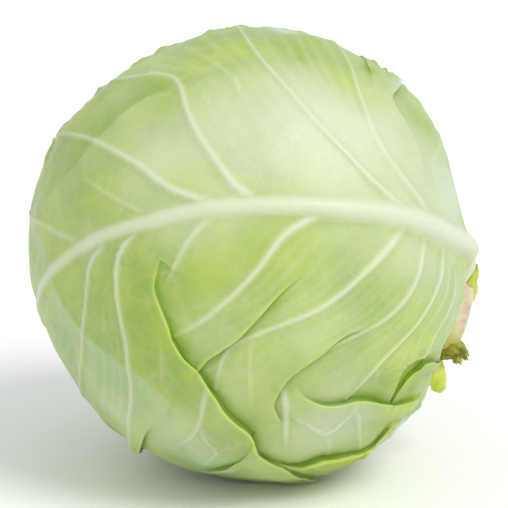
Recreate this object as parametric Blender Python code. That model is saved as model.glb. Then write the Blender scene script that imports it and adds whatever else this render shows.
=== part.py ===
"""A green cabbage head lying on its side, its stem to the right: the tight heart, four outer
leaves that wrap it one over the other, the cut stem and the torn leaf bases round it.
Every surface is a distance from the head's centre, given for each direction from it."""

import math

import bmesh
import bpy
import numpy as np
from mathutils import Vector
from mathutils.geometry import delaunay_2d_cdt

MM = 0.001

# Driving sizes, in millimetres
HEAD_RADIUS = 89.5
APEX_FLATTENING = 4.0
STEM_END_HOLLOW = 6.0
STEM_END_HOLLOW_SPREAD = 24.0  # degrees
CENTRE_HEIGHT = 86.6  # the head's centre above what it rests on
LEAF_THICKNESS = 1.1
LEAF_GAP = 1.3
DRAPE_WIDTH = 13.0  # how far outside a leaf's edge the next leaf starts to rise over it
PRESSED_FLAT = 0.85  # the share of its ribs' height that a leaf loses where another covers it
STEM_TOP = 91.0  # the cut face, from the head's centre
STEM_ROOT = 70.0
STEM_CONE = 11.4  # half angle of the stem inside the leaves, degrees
LEAF_BASE_CONE = 12.0
HEART_HOLLOW_CONE = 12.6
SCRAP_GAP = 0.3
RIB_START = 14.0  # a rib is lower over this length at its root

# The front view, which the leaf routes below are drawn in. It looks down by this tilt, from
# this far off, and a route's points are in steps of 0.392 mm right and down from a corner.
VIEW_TILT = math.radians(15)
VIEW_DISTANCE = 1200.0
STEP = 0.392
VIEW_CENTRE = (246.0, 254.0)

RIGHT = np.array((1.0, 0.0, 0.0))
UP = np.array((0.0, math.sin(VIEW_TILT), math.cos(VIEW_TILT)))
TOWARD = np.array((0.0, -math.cos(VIEW_TILT), math.sin(VIEW_TILT)))


def seen(right, up, toward):
    """The direction with these parts in the front view."""
    way = right * RIGHT + up * UP + toward * TOWARD
    return way / np.linalg.norm(way)


STEM_AXIS = seen(0.925, -0.272, -0.265)

# Broad lumps and flats of the whole head: direction, spread in degrees, height in mm
LUMPS = (
    (seen(-0.82, -0.57, 0.10), 30, -4.6),
    (seen(-0.42, 0.90, 0.05), 20, -1.8),
    (seen(-0.78, 0.62, 0.05), 16, 1.6),
    (seen(0.66, 0.75, 0.00), 22, 1.6),
    (seen(0.95, 0.28, 0.00), 18, -4.4),
    (seen(0.52, -0.85, 0.00), 24, 1.8),
    (seen(-0.10, -0.99, 0.00), 20, -2.2),
    (seen(0.30, 0.40, 0.86), 40, 1.0),
    (seen(0.50, 0.87, 0.00), 14, -2.0),
    (seen(-0.68, 0.73, 0.00), 10, -2.4),
    (seen(0.99, 0.14, 0.00), 5, -2.6),
    (seen(-0.47, -0.88, 0.00), 7, -2.4),
    (seen(0.88, -0.43, 0.15), 8.5, -4.6),
    (seen(0.98, -0.14, 0.12), 5, -2.6),
)

# The front leaf, outermost. Its outline is degrees from the view's axis, by degrees round
# it from the right, counter-clockwise.
FRONT_OUTLINE = (
    (-176, 107), (-150, 104), (-128, 98), (-110, 91), (-88, 90), (-76, 89), (-66, 90),
    (-58, 87), (-54, 79), (-50, 74), (-46, 75), (-43, 86), (-39, 79), (-33, 84), (-27, 91), (-16, 92),
    (-6, 91), (4, 95), (14, 98), (40, 99), (70, 101), (100, 103), (140, 106),
)
# Ribs of the front leaf: route in the front view, height and half width at each end
FRONT_MIDRIB = (
    ((470, 286), (473, 270), (467, 254), (454, 239), (430, 226), (395, 215), (350, 209), (300, 206),
     (250, 206), (200, 210), (150, 222), (100, 238), (62, 262), (40, 294), (22, 330)),
    (5.2, 1.0), (7.5, 2.2),
)
FRONT_VEINS = (
    (((82, 243), (60, 233), (45, 224), (30, 214), (-5, 195)), (1.1, 0.7), (2.0, 1.3)),
    (((212, 204), (170, 188), (140, 166), (108, 148), (96, 142), (80, 137), (60, 136), (20, 128)),
     (1.5, 0.8), (2.4, 1.4)),
    (((258, 200), (236, 186), (216, 160), (198, 133), (187, 108), (183, 92), (175, 79), (158, 76),
      (138, 78), (119, 81), (95, 92)), (1.5, 0.9), (2.4, 1.5)),
    (((405, 210), (370, 178), (340, 146), (300, 103), (268, 68), (250, 45), (232, 26), (215, -15)),
     (1.6, 0.9), (2.4, 1.6)),
    (((428, 214), (402, 178), (382, 148), (361, 100), (353, 76), (342, 52), (330, 15)),
     (1.5, 0.8), (2.4, 1.5)),
    (((446, 222), (438, 190), (434, 160), (436, 130), (445, 95)), (1.1, 0.7), (2.0, 1.3)),
    (((106, 243), (92, 265), (88, 300), (85, 340), (82, 378), (62, 420)), (1.3, 0.7), (2.0, 1.3)),
    (((138, 232), (121, 255), (118, 290), (122, 318), (129, 352), (132, 400), (138, 446)),
     (1.5, 0.8), (2.2, 1.4)),
    (((212, 217), (190, 240), (175, 268), (163, 292)), (1.2, 0.8), (2.0, 1.5)),
    (((322, 213), (285, 235), (262, 265), (238, 291), (205, 319), (173, 337)), (1.5, 1.0), (2.5, 1.8)),
    (((402, 230), (365, 272), (322, 307), (262, 332), (228, 350), (215, 388)), (1.6, 0.8), (2.5, 1.5)),
    (((424, 240), (413, 284), (389, 315), (356, 335), (325, 350), (296, 370)), (1.5, 0.8), (2.3, 1.4)),
    (((442, 252), (438, 282), (415, 325), (380, 361), (346, 399)), (1.5, 0.8), (2.3, 1.4)),
    (((455, 272), (450, 302), (428, 343), (404, 372)), (1.4, 0.9), (2.0, 1.4)),
    (((464, 292), (459, 318), (446, 341), (431, 362)), (1.2, 0.8), (1.9, 1.3)),
    (((282, 384), (285, 410), (285, 444)), (1.2, 0.7), (2.1, 1.4)),
    (((352, 404), (340, 424), (326, 433), (305, 423), (286, 413)), (0.9, 0.7), (1.8, 1.3)),
    (((352, 404), (358, 422), (359, 446)), (0.9, 0.6), (1.8, 1.2)),
)
# Pleats: route with the raised side on its right hand, height at both ends and between,
# and how far back the raised side slopes down
FRONT_PLEATS = (
    (((162, 262), (157, 274), (155, 288), (160, 304), (168, 324), (175, 343), (184, 358), (197, 369),
      (206, 382), (225, 410), (236, 421), (248, 430), (254, 441), (258, 452), (270, 461), (284, 467),
      (298, 475), (312, 482)), (0.3, 3.0, 1.2), 20.0),
    (((306, 272), (279, 294), (250, 323), (222, 347), (199, 368)), (0.0, 2.3, 1.7), 12.0),
    (((366, 328), (350, 332), (322, 350), (294, 370), (283, 382), (276, 395), (273, 405), (278, 416)),
     (0.2, 2.0, 0.9), 9.0),
    (((296, 387), (303, 396), (314, 402), (326, 405), (338, 404), (350, 400), (364, 399), (380, 402),
      (396, 404), (410, 399)), (0.1, 2.8, 1.6), 12.0),
    (((434, 356), (420, 359), (408, 365), (401, 376), (397, 389), (390, 401)), (0.8, 2.8, 1.0), 9.0),
    (((394, 404), (402, 393), (410, 383), (420, 375), (432, 367), (441, 358)), (0.8, 2.2, 1.0), 6.0),
    (((384, 57), (392, 63), (399, 72), (400, 82), (395, 90), (391, 97), (402, 118), (416, 145),
      (430, 190)), (2.4, 1.2, 0.0), 9.0),
    (((155, 422), (147, 431), (142, 441), (138, 455)), (0.0, 1.8, 2.6), 8.0),
    (((200, 470), (214, 469), (229, 465), (240, 459), (247, 450), (253, 438)), (0.3, 1.9, 0.4), 7.0),
    (((270, 460), (284, 464), (298, 465), (311, 461), (322, 457), (336, 456), (350, 452), (362, 450),
      (374, 443), (386, 430)), (0.2, 2.3, 1.2), 6.0),
)

# The other leaves, from the outermost in: name, centre direction, reach from the centre by
# degrees round it from the stem side, the midrib's sideways bow in mm, and the lift of its edge
OTHER_LEAVES = (
    ("leaf_under", seen(-0.16, -0.84, -0.52),
     ((0, 66), (24, 69), (50, 73), (80, 71), (115, 66), (150, 70), (180, 74), (-150, 71),
      (-115, 74), (-80, 76), (-50, 74), (-24, 70)), 9.0, 2.6),
    ("leaf_top", seen(-0.10, 0.86, -0.50),
     ((0, 80), (22, 84), (50, 78), (80, 72), (115, 74), (150, 70), (180, 67), (-150, 70),
      (-115, 72), (-80, 70), (-50, 74), (-22, 80)), -8.0, 2.2),
    ("leaf_back", seen(-0.30, -0.04, -0.95),
     ((0, 70), (26, 74), (55, 71), (90, 66), (130, 67), (180, 70), (-130, 66), (-90, 64),
      (-55, 70), (-26, 74)), 6.0, 0.8),
)
OTHER_MIDRIB = ((4.2, 1.0), (6.0, 1.6))
OTHER_VEIN = ((1.1, 0.5), (1.9, 1.2))
VEIN_PAIRS = 6


def ease(share):
    share = np.clip(share, 0.0, 1.0)
    return share * share * (3.0 - 2.0 * share)


def head_surface(ways):
    """The outermost surface's distance from the centre, before ribs and pleats."""
    along_stem = ways @ STEM_AXIS
    from_stem = np.degrees(np.arccos(np.clip(along_stem, -1, 1)))
    distance = HEAD_RADIUS - APEX_FLATTENING * np.clip(-along_stem, 0, 1) ** 2
    distance = distance - STEM_END_HOLLOW * np.exp(-((from_stem / STEM_END_HOLLOW_SPREAD) ** 2))
    for way, spread, height in LUMPS:
        off = np.degrees(np.arccos(np.clip(ways @ way, -1, 1)))
        distance = distance + height * np.exp(-((off / spread) ** 2))
    return distance


def from_front(x, y):
    """The direction of a place in the front view. One outside the head lies past its rim."""
    right = (x - VIEW_CENTRE[0]) * STEP
    up = (VIEW_CENTRE[1] - y) * STEP
    out = max(math.hypot(right, up), 1e-6)
    rim_way = (right * RIGHT + up * UP) / out
    rim = float(head_surface(rim_way[None])[0])
    edge = rim * VIEW_DISTANCE / math.sqrt(VIEW_DISTANCE**2 - rim**2)
    rim_angle = math.acos(rim / VIEW_DISTANCE)
    if out >= edge:
        angle = rim_angle + (out - edge) / rim
    else:
        angle = math.asin(out / edge)
        for _ in range(12):
            way = math.cos(angle) * TOWARD + math.sin(angle) * rim_way
            far = float(head_surface(way[None])[0])
            depth = 1.0 - far * math.cos(angle) / VIEW_DISTANCE
            angle = 0.5 * (angle + min(math.asin(min(out * depth / far, 1.0)), rim_angle))
    return math.cos(angle) * TOWARD + math.sin(angle) * rim_way


def smooth_route(ways, spacing=4.0):
    """A smooth curve through the directions, as points on a ball of the head's radius."""
    knots = np.array([2 * ways[0] - ways[1], *ways, 2 * ways[-1] - ways[-2]])
    points = []
    for before, start, end, after in zip(knots, knots[1:], knots[2:], knots[3:]):
        parts = max(2, round(HEAD_RADIUS * float(np.linalg.norm(end - start)) / spacing))
        for t in np.arange(parts) / parts:
            points.append(
                0.5 * (2 * start + (end - before) * t
                       + (2 * before - 5 * start + 4 * end - after) * t**2
                       + (3 * start - before - 3 * end + after) * t**3)
            )
    points.append(knots[-2])
    points = np.array(points)
    return HEAD_RADIUS * points / np.linalg.norm(points, axis=1, keepdims=True)


def near_route(ways, route):
    """For each direction: its distance from the route, the share along it, and the same
    distance with a sign, positive on the route's right hand as seen from outside."""
    here = HEAD_RADIUS * ways
    starts, runs = route[:-1], np.diff(route, axis=0)
    lengths = np.linalg.norm(runs, axis=1)
    before = np.concatenate([[0.0], np.cumsum(lengths)])
    offset = here[:, None, :] - starts[None]
    share = np.clip((offset * runs).sum(2) / lengths**2, 0, 1)
    gap = offset - share[..., None] * runs
    nearest = np.argmin((gap**2).sum(2), axis=1)
    rows = np.arange(len(ways))
    gap = gap[rows, nearest]
    distance = np.linalg.norm(gap, axis=1)
    along = (before[nearest] + share[rows, nearest] * lengths[nearest]) / before[-1]
    right_hand = np.cross(runs[nearest], ways)
    side = np.where((gap * right_hand).sum(1) >= 0, 1.0, -1.0)
    return distance, along, side * distance


def rib_height(ways, rib, wider=1.0):
    """A rounded ridge along a route, tapering from its first end to its last."""
    route, heights, widths = rib
    distance, along, _ = near_route(ways, route)
    length = float(np.linalg.norm(np.diff(route, axis=0), axis=1).sum())
    height = heights[0] + (heights[1] - heights[0]) * ease(along * 1.15)
    height = height * ease(0.35 + along * length / RIB_START)
    width = wider * (widths[0] + (widths[1] - widths[0]) * along ** 0.7)
    return height * np.clip(1.0 - (distance / width) ** 2, 0, 1) ** 1.4


def pleat_height(ways, pleat):
    """A fold of the blade: a lip that drops at once on one side and slopes back on the other."""
    route, heights, slope = pleat
    distance, along, signed = near_route(ways, route)
    height = np.interp(along, (0.0, 0.45, 1.0), heights)
    fall_back = (1.0 - ease(signed / slope)) * ease((signed + 0.5) / 0.8)
    hollow = 0.22 * np.exp(-((signed + 3.0) / 3.0) ** 2) * (signed < 0)
    past_end = np.exp(-(np.clip(distance - np.abs(signed), 0, None) / 3.0) ** 2)
    return height * (fall_back - hollow) * past_end


class Leaf:
    """One leaf: a rounded patch of the head, with its own layer over the leaves inside it."""

    def __init__(self, name, centre, across, outline, lift, seed):
        self.name = name
        self.centre = centre
        self.across = across - centre * float(across @ centre)
        self.across /= np.linalg.norm(self.across)
        self.upward = np.cross(centre, self.across)
        self.outline = sorted(outline)
        self.lift = lift
        self.waves = np.random.default_rng(seed).uniform(0, 2 * math.pi, 3)
        self.ribs, self.pleats = [], []

    def polar(self, ways):
        away = np.arccos(np.clip(ways @ self.centre, -1, 1))
        turn = np.degrees(np.arctan2(ways @ self.upward, ways @ self.across))
        return away, turn

    def reach(self, turn):
        """How far the leaf reaches from its centre, in radians, at a turn round it."""
        turns = np.array([t for t, _ in self.outline])
        reaches = np.array([r for _, r in self.outline])
        turn = (np.asarray(turn) - turns[0]) % 360.0
        knots = np.append(turns - turns[0], 360.0)
        ends = np.append(reaches, reaches[0])
        last = np.clip(np.searchsorted(knots, turn, side="right"), 1, len(turns))
        share = ease((turn - knots[last - 1]) / (knots[last] - knots[last - 1]))
        degrees = ends[last - 1] + (ends[last] - ends[last - 1]) * share
        around = np.radians(turn)
        degrees = degrees + 0.7 * np.sin(11 * around + self.waves[0])
        degrees = degrees + 0.45 * np.sin(23 * around + self.waves[1])
        return np.minimum(np.radians(degrees), self.stem_side(turn + turns[0]))

    def stem_side(self, turn):
        """How far it may reach at a turn before it would meet the stem."""
        cone = math.radians(LEAF_BASE_CONE)
        stem_away, stem_turn = self.polar(STEM_AXIS[None])
        off = np.radians(turn - stem_turn[0])
        beside = np.arcsin(np.clip(np.sin(stem_away) * np.sin(off), -1, 1))
        along = np.arctan2(np.sin(stem_away) * np.cos(off), np.cos(stem_away))
        meets = (np.abs(beside) < cone) & (np.cos(off) > 0)
        half = np.arccos(np.clip(math.cos(cone) / np.cos(beside), -1, 1))
        return np.where(meets, along - half, math.pi)

    def inside(self, ways):
        """Millimetres inside the leaf's edge, negative outside it."""
        away, turn = self.polar(ways)
        return HEAD_RADIUS * (self.reach(turn) - away)

    def cover(self, ways):
        """1 on the leaf and just outside it, easing to 0 further out."""
        return ease((self.inside(ways) + DRAPE_WIDTH) / (DRAPE_WIDTH - 1.0))

    def edge_lift(self, ways):
        """How far the leaf's edge stands off what it covers, in waves along the edge."""
        _, turn = self.polar(ways)
        wave = 0.55 + 0.45 * np.sin(np.radians(turn) * 7 + self.waves[2])
        from_stem = np.degrees(np.arccos(np.clip(ways @ STEM_AXIS, -1, 1)))
        return self.lift * wave * ease(1 - self.inside(ways) / 16.0) ** 2 * ease((from_stem - 16) / 25)

    def relief(self, ways, wider=1.0):
        """How far the midrib and veins stand out of the blade."""
        return np.max([rib_height(ways, rib, wider) for rib in self.ribs], axis=0)

    def plane(self, ways):
        """Flat coordinates of directions in the leaf, in millimetres, true in area."""
        away, turn = self.polar(ways)
        out = 2 * HEAD_RADIUS * np.sin(away / 2)
        return np.stack([out * np.cos(np.radians(turn)), out * np.sin(np.radians(turn))], 1)

    def unplane(self, flat):
        out = np.hypot(flat[:, 0], flat[:, 1])
        away = 2 * np.arcsin(np.clip(out / (2 * HEAD_RADIUS), 0, 1))
        turn = np.arctan2(flat[:, 1], flat[:, 0])
        ways = np.cos(away)[:, None] * self.centre
        ways = ways + (np.sin(away) * np.cos(turn))[:, None] * self.across
        return ways + (np.sin(away) * np.sin(turn))[:, None] * self.upward


def make_front_leaf():
    leaf = Leaf("leaf_front", TOWARD, RIGHT, FRONT_OUTLINE, 1.8, 3)
    for places, heights, widths in (FRONT_MIDRIB, *FRONT_VEINS):
        route = smooth_route([from_front(x, y) for x, y in places], 5.0)
        leaf.ribs.append((route, heights, widths))
    for places, heights, slope in FRONT_PLEATS:
        route = smooth_route([from_front(x, y) for x, y in places], 4.0)
        leaf.pleats.append((route, heights, slope))
    return leaf


def curve_between(start, middle, end, count=6):
    t = np.linspace(0, 1, count)[:, None]
    return (1 - t) ** 2 * start + 2 * t * (1 - t) * middle + t**2 * end


def make_other_leaf(name, centre, outline, bow, lift, seed):
    """A leaf whose midrib runs from the stem through its centre, with side veins in pairs
    that leave it towards the tip and curve out to the edge."""
    leaf = Leaf(name, centre, STEM_AXIS, outline, lift, seed)
    edge = leaf.plane(leaf.unplane(np.zeros((1, 2))))
    base = 2 * HEAD_RADIUS * math.sin(float(leaf.reach(np.array([0.0]))[0]) / 2) - 1.0
    tip = -2 * HEAD_RADIUS * math.sin(float(leaf.reach(np.array([180.0]))[0]) / 2) * 0.9
    shares = np.linspace(0, 1, 9)
    spine = np.stack([base + (tip - base) * shares, edge[0, 1] + bow * np.sin(math.pi * shares)], 1)
    leaf.ribs.append((smooth_route(leaf.unplane(spine), 7.0), *OTHER_MIDRIB))
    for pair in range(VEIN_PAIRS):
        for side in (1, -1):
            share = (pair + (0.25 if side > 0 else 0.6)) / (VEIN_PAIRS + 0.8)
            root = np.array([np.interp(share, shares, spine[:, 0]), np.interp(share, shares, spine[:, 1])])
            turn = side * (38 + 118 * share)
            out = 2 * HEAD_RADIUS * math.sin(float(leaf.reach(np.array([turn]))[0]) / 2) * 0.9
            end = out * np.array([math.cos(math.radians(turn)), math.sin(math.radians(turn))])
            bend = root + np.array([-0.42, 0.16 * side]) * float(np.linalg.norm(end - root))
            route = smooth_route(leaf.unplane(curve_between(root, bend, end)), 8.0)
            leaf.ribs.append((route, *OTHER_VEIN))
    return leaf


def floor_limit(ways, over):
    """The distance at which a direction meets the surface it rests on, for a layer with so
    many millimetres of leaf between it and that surface."""
    down = np.maximum(-ways[:, 2], 1e-6)
    return (CENTRE_HEIGHT - over) / down


def surfaces(leaves, ways):
    """The heart's surface, and each leaf's inner and outer ones, for leaves from inside out."""
    covers = [leaf.cover(ways) for leaf in leaves]
    pitch = LEAF_GAP + LEAF_THICKNESS
    top = head_surface(ways) - pitch * np.sum(covers, axis=0)
    over = pitch * np.sum(covers, axis=0)
    top = np.minimum(top, floor_limit(ways, over))
    found = [(top, top)]
    for number, (leaf, cover) in enumerate(zip(leaves, covers)):
        over = over - pitch * cover
        pressed = np.max([0.0 * cover, *covers[number + 1:]], axis=0)
        shown = 1.0 - PRESSED_FLAT * pressed
        lift = leaf.edge_lift(ways) * shown
        inner = top + LEAF_GAP + lift
        outer = inner + LEAF_THICKNESS + shown * leaf.relief(ways)
        if leaf.pleats:
            pleats = np.array([pleat_height(ways, pleat) for pleat in leaf.pleats])
            outer = np.maximum(outer + pleats.max(axis=0) + pleats.min(axis=0), inner + 0.8)
        limit = floor_limit(ways, over)
        outer = np.minimum(outer, limit)
        inner = np.minimum(inner, limit - LEAF_THICKNESS)
        found.append((inner, outer))
        layer = LEAF_GAP + lift + LEAF_THICKNESS + shown * leaf.relief(ways, 1.7)
        top = np.minimum(top + cover * layer, limit)
    return found


def clear_scene():
    for thing in list(bpy.data.objects):
        bpy.data.objects.remove(thing, do_unlink=True)


def finish(name, work, material):
    """A mesh object from a bmesh in millimetres round the head's centre."""
    bmesh.ops.remove_doubles(work, verts=work.verts, dist=1e-4)
    bmesh.ops.recalc_face_normals(work, faces=work.faces)
    bmesh.ops.scale(work, vec=(MM, MM, MM), verts=work.verts)
    bmesh.ops.translate(work, vec=(0, 0, CENTRE_HEIGHT * MM), verts=work.verts)
    mesh = bpy.data.meshes.new(name)
    work.to_mesh(mesh)
    work.free()
    mesh.shade_smooth()
    mesh.set_sharp_from_angle(angle=math.radians(50))
    mesh.materials.append(material)
    thing = bpy.data.objects.new(name, mesh)
    bpy.context.scene.collection.objects.link(thing)
    return thing


def make_material(name, colour, roughness):
    material = bpy.data.materials.new(name)
    material.use_nodes = True
    shader = material.node_tree.nodes["Principled BSDF"]
    shader.inputs["Base Color"].default_value = (*colour, 1.0)
    shader.inputs["Roughness"].default_value = roughness
    shader.inputs["Metallic"].default_value = 0.0
    return material


def outline_points(leaf, spacing):
    """Points along the leaf's edge in its flat coordinates, about evenly apart."""
    turns = np.linspace(-180, 180, 1440, endpoint=False)
    out = 2 * HEAD_RADIUS * np.sin(leaf.reach(turns) / 2)
    dense = np.stack([out * np.cos(np.radians(turns)), out * np.sin(np.radians(turns))], 1)
    steps = np.linalg.norm(np.diff(np.vstack([dense, dense[:1]]), axis=0), axis=1)
    travelled = np.concatenate([[0], np.cumsum(steps)])
    count = round(travelled[-1] / spacing)
    wanted = np.arange(count) / count * travelled[-1]
    looped = np.vstack([dense, dense[:1]])
    return np.stack([np.interp(wanted, travelled, looped[:, i]) for i in (0, 1)], 1)


def feature_lines(leaf):
    """The lines that the outer face's triangles follow: each rib's crest and feet, each
    pleat's lip and foot. They stop short of the leaf's edge."""
    lines = []
    for route, _, widths in leaf.ribs:
        ways = route / HEAD_RADIUS
        flat = leaf.plane(ways)
        run = np.gradient(flat, axis=0)
        side = np.stack([-run[:, 1], run[:, 0]], 1) / np.linalg.norm(run, axis=1, keepdims=True)
        width = widths[0] + (widths[1] - widths[0]) * np.linspace(0, 1, len(flat)) ** 0.7
        lines += [flat, flat + side * width[:, None], flat - side * width[:, None]]
    for route, _, _ in leaf.pleats:
        flat = leaf.plane(route / HEAD_RADIUS)
        run = np.gradient(flat, axis=0)
        right = np.stack([run[:, 1], -run[:, 0]], 1) / np.linalg.norm(run, axis=1, keepdims=True)
        lines += [flat + right * 0.4, flat - right * 0.7]
    kept = []
    for line in lines:
        whole = leaf.inside(leaf.unplane(line)) > 3.0
        if whole.sum() > 1:
            first = int(np.argmax(whole))
            stop = first + int(np.argmin(np.append(whole[first:], False)))
            if stop - first > 1:
                kept.append(line[first:stop])
    return kept


def triangulate(leaf, edge, lines, spacing):
    """Flat points and triangles that fill the edge, follow the lines, and elsewhere lie on
    an even net of this spacing."""
    points = [tuple(p) for p in edge]
    edges = []
    taken = [edge]
    for line in lines:
        first = len(points)
        points += [tuple(p) for p in line]
        edges += [(first + i, first + i + 1) for i in range(len(line) - 1)]
        taken.append(line)
    taken = np.vstack(taken)
    size = float(np.abs(edge).max()) + spacing
    row_height = spacing * math.sqrt(3) / 2
    for row, y in enumerate(np.arange(-size, size, row_height)):
        for x in np.arange(-size, size, spacing) + (row % 2) * spacing / 2:
            place = np.array([[x, y]])
            if leaf.inside(leaf.unplane(place))[0] < 0.55 * spacing:
                continue
            if np.min(np.hypot(*(taken - place[0]).T)) > 0.55 * spacing:
                points.append((x, y))
    made = delaunay_2d_cdt(
        [Vector(p) for p in points], edges, [list(range(len(edge)))], 1, 0.02
    )
    return np.array([tuple(v) for v in made[0]]), [tuple(f) for f in made[2]], made[3]


def add_face(work, leaf, flat, triangles, sources, radius, count, outward):
    """Adds one face of the leaf, and returns its edge's vertices in their order."""
    ways = leaf.unplane(flat)
    places = ways * radius(ways)[:, None]
    made = [work.verts.new(Vector(p)) for p in places]
    for triangle in triangles:
        corners = [made[i] for i in (triangle if outward else triangle[::-1])]
        work.faces.new(corners)
    rim = [None] * count
    for vertex, found in zip(made, sources):
        for source in found:
            if source < count:
                rim[source] = vertex
    return rim


def build_leaf(leaves, index, outer_spacing, inner_spacing, material):
    """A leaf as one solid: a ribbed outer face, a plainer inner one and the edge between."""
    leaf = leaves[index]
    work = bmesh.new()
    edge = outline_points(leaf, outer_spacing)
    fine = triangulate(leaf, edge, feature_lines(leaf), outer_spacing)
    plain = triangulate(leaf, edge, [], inner_spacing)
    outer = add_face(work, leaf, *fine, lambda ways: surfaces(leaves, ways)[index + 1][1], len(edge), True)
    inner = add_face(work, leaf, *plain, lambda ways: surfaces(leaves, ways)[index + 1][0], len(edge), False)
    for i in range(len(edge)):
        after = (i + 1) % len(edge)
        work.faces.new((outer[i], inner[i], inner[after]))
        work.faces.new((outer[i], inner[after], outer[after]))
    print(leaf.name, "triangles", len(work.faces))
    return finish(leaf.name, work, material)


def stem_frame():
    side = np.cross(STEM_AXIS, TOWARD)
    side /= np.linalg.norm(side)
    return side, np.cross(side, STEM_AXIS)


def build_heart(leaves, material):
    """The tight inner head, with a hollow that the stem stands in."""
    side, front = stem_frame()
    around = 40
    turns = 2 * math.pi * np.arange(around) / around
    from_stem = np.radians([HEART_HOLLOW_CONE, HEART_HOLLOW_CONE + 0.6, *np.linspace(19, 173, 23)])
    work = bmesh.new()
    rings = []
    for number, angle in enumerate(from_stem):
        across = np.cos(turns)[:, None] * side + np.sin(turns)[:, None] * front
        ways = math.cos(angle) * STEM_AXIS + math.sin(angle) * across
        distance = surfaces(leaves, ways)[0][0]
        if number == 0:
            distance = 0.0 * distance + (STEM_ROOT - 1.5) / math.cos(angle)
        rings.append([work.verts.new(Vector(p)) for p in ways * distance[:, None]])
    for low, high in zip(rings, rings[1:]):
        for i in range(around):
            after = (i + 1) % around
            work.faces.new((low[i], low[after], high[i]))
            work.faces.new((low[after], high[after], high[i]))
    apex = float(surfaces(leaves, -STEM_AXIS[None])[0][0][0])
    for ring, height in ((rings[0], STEM_ROOT - 1.5), (rings[-1], -apex)):
        middle = work.verts.new(Vector(STEM_AXIS * height))
        for i in range(around):
            work.faces.new((ring[i], ring[(i + 1) % around], middle))
    return finish("heart", work, material)


def stem_radius(height):
    """The stem's radius at a distance from the head's centre along it."""
    cone = height * math.tan(math.radians(STEM_CONE))
    return min(cone, 17.0 - 0.12 * max(height - 84.0, 0.0))


def build_stem(material):
    """The cut stem: a stout stalk with five shallow leaf scars round it and a sawn top."""
    side, front = stem_frame()
    around = 30
    heights = (STEM_ROOT, 76.0, 82.0, 85.0, 88.0, 90.5, STEM_TOP - 0.8, STEM_TOP)
    work = bmesh.new()
    rings = []
    for height in heights:
        ring = []
        for i in range(around):
            turn = 2 * math.pi * i / around
            scar = 0.9 * max(0.0, math.sin(2.5 * turn + 0.35 * (height - 80.0))) ** 2
            radius = stem_radius(height) - (scar if height > 84.0 else 0.0)
            if height == STEM_TOP:
                radius -= 0.9
            place = STEM_AXIS * height + radius * (math.cos(turn) * side + math.sin(turn) * front)
            ring.append(work.verts.new(Vector(place)))
        rings.append(ring)
    for low, high in zip(rings, rings[1:]):
        for i in range(around):
            after = (i + 1) % around
            work.faces.new((low[i], low[after], high[after], high[i]))
    for ring, height in ((rings[0], STEM_ROOT), (rings[-1], STEM_TOP - 1.2)):
        middle = work.verts.new(Vector(STEM_AXIS * height))
        for i in range(around):
            work.faces.new((ring[i], ring[(i + 1) % around], middle))
    return finish("stem", work, material)


def close_nets(work, nets, rows, columns):
    """Faces on a lower and an upper net of points, and a rim between them."""
    for row in range(rows - 1):
        for column in range(columns - 1):
            for net, flip in ((nets[0], True), (nets[1], False)):
                a, b = net[row][column], net[row][column + 1]
                c, d = net[row + 1][column + 1], net[row + 1][column]
                for corners in ((a, b, c), (a, c, d)):
                    work.faces.new(corners[::-1] if flip else corners)
    rim = [(0, c) for c in range(columns)] + [(r, columns - 1) for r in range(1, rows)]
    rim += [(rows - 1, c) for c in range(columns - 2, -1, -1)] + [(r, 0) for r in range(rows - 2, 0, -1)]
    for (r0, c0), (r1, c1) in zip(rim, rim[1:] + rim[:1]):
        a, b = nets[0][r0][c0], nets[0][r1][c1]
        c, d = nets[1][r1][c1], nets[1][r0][c0]
        work.faces.new((a, b, c))
        work.faces.new((a, c, d))


def build_scrap(name, turn, low, high, half_width, thickness, curl, material):
    """A torn leaf base: a small bowed flap that leans out from the stem. turn is degrees
    round the stem from the front, low and high its ends along the stem's length."""
    side, front = stem_frame()
    turn = math.radians(turn)
    out = math.cos(turn) * front + math.sin(turn) * side
    along = np.cross(STEM_AXIS, out)
    rows, columns = 7, 6
    work = bmesh.new()
    nets = []
    for face in (0, 1):
        net = []
        for row in range(rows):
            share = row / (rows - 1)
            height = low + (high - low) * share
            width = half_width * math.sin(math.pi * (0.16 + 0.76 * share)) ** 0.7
            line = []
            for column in range(columns):
                across = (2 * column / (columns - 1) - 1) * width
                bow = across**2 / (2 * 17.5)
                away = stem_radius(max(low, 86.0)) + SCRAP_GAP + 0.7 + curl * share**2 - bow
                away += face * thickness * (1.0 - 0.45 * share)
                line.append(work.verts.new(Vector(STEM_AXIS * height + out * away + along * across)))
            net.append(line)
        nets.append(net)
    close_nets(work, nets, rows, columns)
    return finish(name, work, material)


def front_place(x, y, depth):
    """A place in the front view, so far towards the viewer from the head's centre."""
    near = (VIEW_DISTANCE - depth) / VIEW_DISTANCE
    across = (x - VIEW_CENTRE[0]) * STEP * near
    above = (VIEW_CENTRE[1] - y) * STEP * near
    return across * RIGHT + above * UP + depth * TOWARD


def build_leaflet(name, start, end, half_width, thickness, bow, material):
    """A small young leaf that hangs from the stem, facing the viewer."""
    start, end = front_place(*start), front_place(*end)
    ahead = (end - start) / np.linalg.norm(end - start)
    across = np.cross(ahead, TOWARD)
    across /= np.linalg.norm(across)
    facing = np.cross(across, ahead)
    rows, columns = 9, 5
    work = bmesh.new()
    nets = []
    for face in (0, 1):
        net = []
        for row in range(rows):
            share = row / (rows - 1)
            width = half_width * math.sin(math.pi * (0.12 + 0.80 * share)) ** 0.8
            middle = start + (end - start) * share + facing * bow * math.sin(math.pi * share)
            line = []
            for column in range(columns):
                side = 2 * column / (columns - 1) - 1
                place = middle + across * side * width - facing * (0.5 * side**2 - face * thickness)
                line.append(work.verts.new(Vector(place)))
            net.append(line)
        nets.append(net)
    close_nets(work, nets, rows, columns)
    return finish(name, work, material)


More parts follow.
